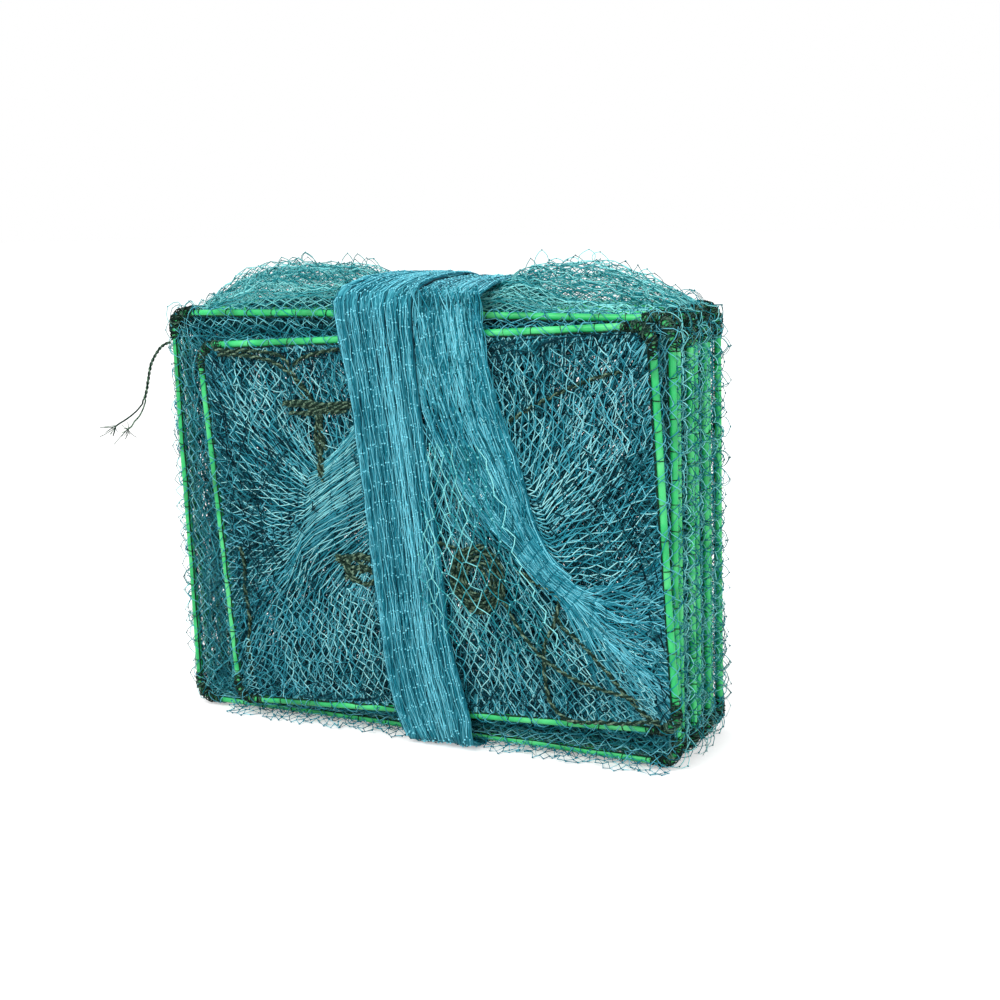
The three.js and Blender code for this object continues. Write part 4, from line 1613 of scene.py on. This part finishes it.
def bandRoute():
    # Places along the tail: forward, up, across and how wide it is, as on the real stack
    main = hoops[1]
    topBar = main["z"] + main["halfTall"]
    under = tailBand["under"]
    layer = tailBand["layer"]
    eaves, crown = topBar + tailBand["eaves"], topBar + tailBand["crown"]
    front, rear = hoops[0]["y"] - tailBand["faceDeep"], hoops[-1]["y"] + tailBand["faceDeep"]
    crownFront, crownRear = hoops[2]["y"], hoops[6]["y"]
    tall, wide = 2 * main["z"], 2 * main["halfWide"]
    middle = (cadBox[0].y + cadBox[1].y) / 2 - tailBand["toLeft"]
    rows = [(front, up * tall, x, broad) for up, x, broad in tailBand["firstFace"]]
    rows += [
        (front, eaves, 0.103, 0.146),
        (crownFront, crown, 0.100, 0.150),
        (crownRear, crown, 0.090, 0.145),
        (rear, eaves, 0.085, 0.130),
        (rear, under, 0.085, 0.130),
        (front - layer, under, 0.074, 0.132),
    ]
    rows += [(front - layer, up * tall, x, broad) for up, x, broad in tailBand["outerFace"]]
    rows += [
        (front - layer, eaves + layer, -0.029, 0.162),
        (crownFront, crown + layer, -0.024, 0.152),
        (crownRear, crown + layer, -0.032, 0.148),
        (rear + layer, eaves + layer, -0.045, 0.140),
        (rear + layer, tailBand["endTall"], -0.060, 0.120),
    ]
    return np.array([(y, z, x * wide + middle, w * wide) for y, z, x, w in rows])


def roundedRoute(route):
    # Cuts each corner with a small bow, then gives points an even step apart
    smooth = [route[0]]
    for i in range(1, len(route) - 1):
        here = route[i]
        ends = []
        for other in (route[i - 1], route[i + 1]):
            away = np.hypot(*(other - here)[:2])
            ends.append(here + (other - here) * min(0.5, tailBand["bend"] / away))
        for s in np.linspace(0, 1, tailBand["bendSteps"]):
            a, b = ends[0] + (here - ends[0]) * s, here + (ends[1] - here) * s
            smooth.append(a + (b - a) * s)
    smooth.append(route[-1])
    smooth = np.array(smooth)
    steps = np.hypot(np.diff(smooth[:, 0]), np.diff(smooth[:, 1]))
    length = np.concatenate([[0], np.cumsum(steps)])
    return smooth, length


bandPath, bandLength = roundedRoute(bandRoute())


def onBand(along, across, lift):
    # along and across are shares, from the start and from the left edge; lift is outwards
    s = along * bandLength[-1]
    step = 0.003
    here, after, before = (
        [np.interp(spot, bandLength, bandPath[:, i]) for i in range(4)]
        for spot in (s, s + step, s - step)
    )
    y, z, x, wide = here
    goY, goZ, goX = (after[i] - before[i] for i in range(3))
    size = np.hypot(goY, goZ) + 1e-9
    lean = goX / size
    offset = (across - 0.5) * wide / np.sqrt(1 + lean ** 2)
    return np.stack([
        x + offset,
        y - goZ / size * lift - goY / size * lean * offset,
        z + goY / size * lift - goZ / size * lean * offset,
    ], -1)


def pleatSway(v):
    return 0.10 * np.sin(math.tau * 1.5 * v + 1) + 0.05 * np.sin(math.tau * 4 * v)


def pleatWave(u, v):
    return np.abs(np.sin(math.pi * (tailBand["pleats"] * u + pleatSway(v))))


def pleat(u, v):
    # The folds that run along the band; its first stretch is nearly flat
    flat = np.clip((v - 0.14) / 0.05, 0.25, 1)
    return tailBand["pleatDeep"] * (np.sqrt(pleatWave(u, v)) - 0.85) * flat


def makeTailBand(number):
    # Each pleat is a narrow net of its own, with its knots a little up or down
    columns, phase, lift = tailBand["layers"][number]
    rows = int(bandLength[-1] / tailBand["rowPitch"])
    row = tailBand["rowPitch"] / bandLength[-1]
    ripple = waves(700 + 20 * number, 8, 40)
    fold = waves(701 + 20 * number, 6, 9)
    rng = np.random.RandomState(703 + number)
    lines = []
    for p in range(tailBand["pleats"]):
        step = phase + tailBand["stepUp"] * rng.uniform(-1, 1)

        def place(u, v):
            spread = 1 + tailBand["fanWide"] * np.clip(1 - v / tailBand["fanTo"], 0, 1) ** 1.5
            inPleat = tailBand["pleatFrom"] + tailBand["pleatWide"] * u
            share = (p + inPleat - pleatSway(v)) / tailBand["pleats"]
            across = 0.5 + (share - 0.5) * spread
            arched = v + row * (step + tailBand["arch"] * np.sin(math.pi * u) + 0.1 * fold(u, v))
            bulge = tailBand["half"] * (1.1 + 0.2 * ripple(v, 3 * share)) + pleat(share, v) + lift
            return onBand(np.clip(arched, 0, 1), across, bulge)

        lines += netLines(place, columns, rows, closed=False, jitter=tailBand["jitter"],
                          bow=tailBand["bow"], seed=705 + 10 * p + number, keepRim=False)
    # The band's knots are painted pale, as highlights
    finishBand(strandPiece(
        f"tailBand{number + 1}", lines, tailNet, tailBand["thickness"], tailBand["knot"],
        seed=7 + number, floor=0.0002, knotTone=0.9,
    ), None if number else "tail_wrap")


def finishBand(piece, stands=None):
    front = hoops[0]
    rideOn(front["body"], "tail_net", piece, stands=stands)
    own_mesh(piece)


def makeBandCore():
    # The folded layers of net inside the band, with painted shade in the creases between its pleats
    columns = tailBand["coreColumns"]
    rows = int(2 * bandLength[-1] / tailBand["rowPitch"])
    ends = np.linspace(0, tailBand["coreEnd"], rows + 1)
    u, v = np.meshgrid(np.linspace(0, 1, columns + 1), ends, indexing="ij")
    fold = waves(711, 6, 9)
    edges = np.array(tailBand["coreEdges"])
    low, high = tableAt(edges, v, 1), tableAt(edges, v, 2)
    across = low + (high - low) * u
    rib = np.sin(math.tau * (u * tailBand["coreRibs"] + 0.35 * fold(v, u)))
    lift = tailBand["coreRib"] * rib + pleat(across, v)
    inner = onBand(v, across, lift - tailBand["coreThick"])
    mesh = sheetMesh("tailCore", onBand(v, across, lift), inner)
    crease = mesh.attributes.new("crease", "FLOAT", "POINT")
    # Painted shade: strongest where the pleats fold in, none on the band's first stretch
    depth = np.clip(1 - pleatWave(across, v) / 0.22, 0, 1) * np.clip((v - 0.14) / 0.05, 0, 1)
    crease.data.foreach_set("value", np.tile(depth.ravel(), 2).astype(np.float32))
    mesh.materials.append(foldedNet)
    finishBand(newObject("tailCore", mesh))


def sheetMesh(name, outer, inner):
    # A thin closed strip from two grids of points
    columns, rows = outer.shape[0], outer.shape[1]
    points = np.concatenate([outer.reshape(-1, 3), inner.reshape(-1, 3)])
    points[:, 2] = np.maximum(points[:, 2], 0.0002)
    ids = np.arange(columns * rows).reshape(columns, rows)
    other = ids + columns * rows
    faces = []

    def quads(a, b, c, d):
        faces.append(np.stack([a.ravel(), b.ravel(), c.ravel(), d.ravel()], 1))

    quads(ids[:-1, :-1], ids[1:, :-1], ids[1:, 1:], ids[:-1, 1:])
    quads(other[:-1, :-1], other[:-1, 1:], other[1:, 1:], other[1:, :-1])
    quads(ids[0, :-1], ids[0, 1:], other[0, 1:], other[0, :-1])
    quads(ids[-1, :-1], other[-1, :-1], other[-1, 1:], ids[-1, 1:])
    quads(ids[:-1, 0], other[:-1, 0], other[1:, 0], ids[1:, 0])
    quads(ids[:-1, -1], ids[1:, -1], other[1:, -1], other[:-1, -1])
    mesh = bpy.data.meshes.new(name)
    mesh.from_pydata(points.tolist(), [], np.concatenate(faces).tolist())
    work = bmesh.new()
    work.from_mesh(mesh)
    bmesh.ops.recalc_face_normals(work, faces=work.faces)
    for face in work.faces:
        face.smooth = True
    work.to_mesh(mesh)
    work.free()
    return mesh


makeTailBand(0)
makeTailBand(1)
makeBandCore()
print("Tail band made, length %.2f m" % bandLength[-1])


# Lashing: twine ties round each bar, windings at the corners and a running line inside

lashing = {
    "pitch": 0.0165,
    "ring": 0.00222,
    "ringThick": 0.00060,
    "scatter": (0.16, 0.42),    # of the aim of a tie, along the bars and at the corners
    "cornerReach": 0.014,
    "cornerPitch": 0.00055,
    "cornerGrow": (1.05, 1.6),
    "lineThick": 0.0009,
    "lineStep": 0.004,
    "lineBeside": (0.0016, 0.0005),
}


def buildTieTree():
    # Ties a ring of twine round the bar at each point
    tree, given = newTree("tieTree", {
        "Geometry": "Geometry", "Ring": "Float", "Thickness": "Float", "Finish": "Material",
    })
    ring = addNode(tree, "GeometryNodeCurveToMesh", {
        "Curve": circle(tree, 10, given["Ring"]),
        "Profile Curve": circle(tree, 3, halfOf(tree, given["Thickness"])),
    })
    turned = addNode(tree, "FunctionNodeAlignRotationToVector", {
        "Vector": namedAttribute(tree, "aim", "FLOAT_VECTOR"),
    }, axis="Z")
    tied = addNode(tree, "GeometryNodeInstanceOnPoints", {
        "Points": given["Geometry"], "Instance": ring.outputs["Mesh"],
        "Rotation": turned.outputs["Rotation"], "Scale": namedAttribute(tree, "grow", "FLOAT"),
    })
    endTree(tree, tied.outputs["Instances"], given["Finish"])
    return tree


tieTree = buildTieTree()


def makeTies(k, hoop):
    rng = np.random.RandomState(800 + k)
    length = hoop["loop"]["length"]
    count = int(length / lashing["pitch"])
    shares = (np.arange(count) + 0.5 + rng.uniform(-0.25, 0.25, count)) / count
    grows = rng.uniform(0.97, 1.08, count)
    corner = hoopShape["corner"]
    flat, side = hoop["halfWide"] - corner, hoop["halfTall"] - corner
    arc = corner * math.pi / 2
    middles = [flat + arc / 2, flat + arc * 1.5 + 2 * side]
    middles += [middles[1] + 2 * flat + arc, middles[1] + 2 * flat + 2 * side + 2 * arc]
    reach, step = lashing["cornerReach"], lashing["cornerPitch"]
    for middle in middles:
        spots = np.arange(-reach, reach, step)
        spots = spots + rng.uniform(-0.3, 0.3, len(spots)) * step
        low, high = lashing["cornerGrow"]
        lump = low + (high - low) * np.clip(1.2 - np.abs(spots) / reach, 0, 1)
        shares = np.concatenate([shares, (middle + spots) / length])
        grows = np.concatenate([grows, lump * rng.uniform(0.88, 1.0, len(spots))])
    x, z = onHoop(hoop, shares)
    aheadX, aheadZ = onHoop(hoop, shares + 0.0008 / length)
    aim = np.stack([aheadX - x, np.zeros(len(x)), aheadZ - z], 1)
    scatter = np.where(np.arange(len(x)) < count, *lashing["scatter"])[:, None]
    aim = aim / np.linalg.norm(aim, axis=1)[:, None] + rng.normal(scale=1, size=aim.shape) * scatter
    source = pointMesh(np.stack([x, np.full(len(x), hoop["y"]), z], 1), [
        ("aim", "FLOAT_VECTOR", aim.astype(np.float32)),
        ("grow", "FLOAT", grows.astype(np.float32)),
        ("tone", "FLOAT", rng.uniform(size=len(x)).astype(np.float32)),
    ])
    mesh = grownMesh(source, tieTree, ring=lashing["ring"], thickness=lashing["ringThick"],
                     finish=lashTwine)
    for vertex in mesh.vertices:
        vertex.co.z = max(vertex.co.z, 0.0)
    mesh.name = f"lashingTies{k}"
    ties = newObject(f"lashingTies{k}", mesh)
    rideOn(hoop["body"], "dark_twine", ties, stands=f"lashing_cord_{k}")


def makeRunningLine(k, hoop):
    length = hoop["loop"]["length"]
    share = np.linspace(0, 1, int(length / lashing["lineStep"]), endpoint=False)
    bend = waves(840 + k, 5, 60)
    deep = lashing["lineThick"] * (0.3 + 0.35 * bend(share, 0 * share))
    side = 1 if k == len(hoops) else -1
    x, z = onHoop(hoop, share, (-hoopShape["sleeveThick"] / 2 - deep) * 0.85)
    beside, sway = lashing["lineBeside"]
    y = hoop["y"] + side * (beside + sway * bend(share, 0.5 + 0 * share))
    line = plainLine(np.stack([x, y + 0 * x, z], 1), 0.4, closed=True)
    twine = strandPiece(f"lashingLine{k}", [line], lashTwine, lashing["lineThick"], sides=5)
    rideOn(hoop["body"], "dark_twine", twine)


for k, hoop in enumerate(hoops, 1):
    makeTies(k, hoop)
    makeRunningLine(k, hoop)
print("Lashings made")


# Meshes of the net that pass over each bar

barMesh = {
    "thickness": 0.0005,
    "knot": 0.0011,
    "strands": 3,
    "pitch": 0.015,
    "near": 0.0024,
    "far": 0.0044,
    "stepsPerTurn": 8,
}


def makeBarMesh(k, hoop):
    rng = np.random.RandomState(860 + k)
    turns = int(hoop["loop"]["length"] / barMesh["pitch"])
    count = turns * barMesh["stepsPerTurn"]
    share = np.arange(count) / count
    lines = []
    for strand in range(barMesh["strands"]):
        way = 1 if strand % 2 else -1
        slide, wide = (
            np.interp(share * turns, np.arange(turns + 1), np.append(values, values[0]))
            for values in (rng.uniform(-0.35, 0.35, turns),
                           rng.uniform(barMesh["near"], barMesh["far"], turns))
        )
        turn = way * math.tau * (share * turns + slide + strand / barMesh["strands"])
        x, z = onHoop(hoop, share, wide * np.sin(turn))
        y = hoop["y"] + wide * np.cos(turn)
        path = np.stack([x, y, np.maximum(z, barMesh["thickness"])], 1)
        lines.append((path, True, rng.uniform(), np.arange(count) % 7 == 0))
    net = strandPiece(f"barMesh{k}", lines, tealNet, barMesh["thickness"], barMesh["knot"],
                      seed=k)
    rideOn(hoop["body"], "net", net)


netSkirt = {
    "thickness": 0.00056,
    "knot": 0.0012,
    "columns": 54,
    "rows": 5,
    "across": (-0.132, 0.152),
    "reach": 0.011,
    "before": 0.0020,
    "sway": 0.0015,
    "hump": 0.0016,
    "floor": 0.0002,
    "jitter": 0.0007,
}


def makeSkirt():
    # Slack net that lies on the floor before the second hoop's lower bar
    hoop = hoops[1]
    bar = hoop["z"] - hoop["halfTall"]
    slack = waves(880, 6, 14)

    def place(u, v):
        left, right = netSkirt["across"]
        x = left + (right - left) * u + netSkirt["sway"] * slack(u, v)
        wide = netSkirt["reach"] * (0.45 + 0.55 * np.clip(0.5 + slack(u, 0.3 + 0 * u), 0, 1))
        y = hoop["y"] - netSkirt["before"] - wide * v ** 1.2
        z = bar * (1 - v) ** 1.5 + netSkirt["hump"] * np.abs(slack(u, 2 * v)) * v
        z = np.maximum(z, 0.0005)
        return np.stack([x, y, z], -1)

    hoopPiece(hoop, "net", "netSkirt", place, netSkirt, tealNet, 881, 14, closed=False,
              floor=netSkirt["floor"])


makeSkirt()
for k, hoop in enumerate(hoops, 1):
    makeBarMesh(k, hoop)
print("Meshes over the bars made")


# Floor, light and backdrop

stageSetup = {
    "size": 12.0,
    "floorColour": (0.90, 0.90, 0.90),
    "bounceColour": (0.50, 0.50, 0.50),
    "worldLight": 0.86,
    "keyPower": 23.0,
    "keyPlace": (-0.35, -1.5, 1.7),
    "keySize": 1.4,
    "fillPower": 8.5,
    "fillPlace": (1.6, -0.6, 0.9),
    "fillSize": 1.6,
    "whiteLift": 0.38,
}


def seenRays(tree):
    # 1 for rays from the camera, and for those that show in metal and through gaps
    rays = addNode(tree, "ShaderNodeLightPath").outputs
    first = addNode(tree, "ShaderNodeMath", {0: rays["Is Camera Ray"], 1: rays["Is Glossy Ray"]},
                    operation="MAXIMUM")
    second = addNode(tree, "ShaderNodeMath", {0: first.outputs[0], 1: rays["Is Transmission Ray"]},
                     operation="MAXIMUM")
    return second.outputs[0]


def diffuse(tree, colour):
    return addNode(tree, "ShaderNodeBsdfDiffuse", {"Color": (*colour, 1)}).outputs[0]


def addFloor():
    half = stageSetup["size"] / 2
    corners = [(-half, -half, 0), (half, -half, 0), (half, half, 0), (-half, half, 0)]
    mesh = bpy.data.meshes.new("floor")
    mesh.from_pydata(corners, [], [(0, 1, 2, 3)])
    material, tree = newMaterial("floorPaper")
    glow = addNode(tree, "ShaderNodeEmission", {"Strength": stageSetup["whiteLift"]})
    lifted = addNode(tree, "ShaderNodeAddShader", {
        0: diffuse(tree, stageSetup["floorColour"]), 1: glow.outputs[0],
    })
    choose = addNode(tree, "ShaderNodeMixShader", {
        "Fac": seenRays(tree), 1: diffuse(tree, stageSetup["bounceColour"]), 2: lifted.outputs[0],
    })
    addNode(tree, "ShaderNodeOutputMaterial", {"Surface": choose.outputs[0]})
    mesh.materials.append(material)
    newObject("floor", mesh)


def addWorld():
    world = bpy.data.worlds.new("studio")
    scene.world = world
    world.use_nodes = True
    tree = world.node_tree
    tree.nodes.clear()
    light, white = (
        addNode(tree, "ShaderNodeBackground", {"Strength": strength, "Color": (1, 1, 1, 1)})
        for strength in (stageSetup["worldLight"], 1.0)
    )
    choose = addNode(tree, "ShaderNodeMixShader", {
        "Fac": seenRays(tree), 1: light.outputs[0], 2: white.outputs[0],
    })
    addNode(tree, "ShaderNodeOutputWorld", {"Surface": choose.outputs[0]})


def addLamp(name, place, size, power):
    data = bpy.data.lights.new(name, "AREA")
    data.size = size
    data.energy = power
    lamp = newObject(name, data)
    lamp.rotation_mode = "QUATERNION"
    lamp.rotation_quaternion = (Vector((0, 0, 0.12)) - Vector(place)).to_track_quat("-Z", "Y")
    lamp.location = place


addFloor()
addWorld()
addLamp("keyLamp", stageSetup["keyPlace"], stageSetup["keySize"], stageSetup["keyPower"])
addLamp("fillLamp", stageSetup["fillPlace"], stageSetup["fillSize"], stageSetup["fillPower"])
print("Stage made")


def writeSizes():
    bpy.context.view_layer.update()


writeSizes()
drawn = [piece.data for piece in scene.objects if piece.type == "MESH" and not piece.hide_render]
print("Triangles shown:", sum(len(face.vertices) - 2 for mesh in drawn for face in mesh.polygons))
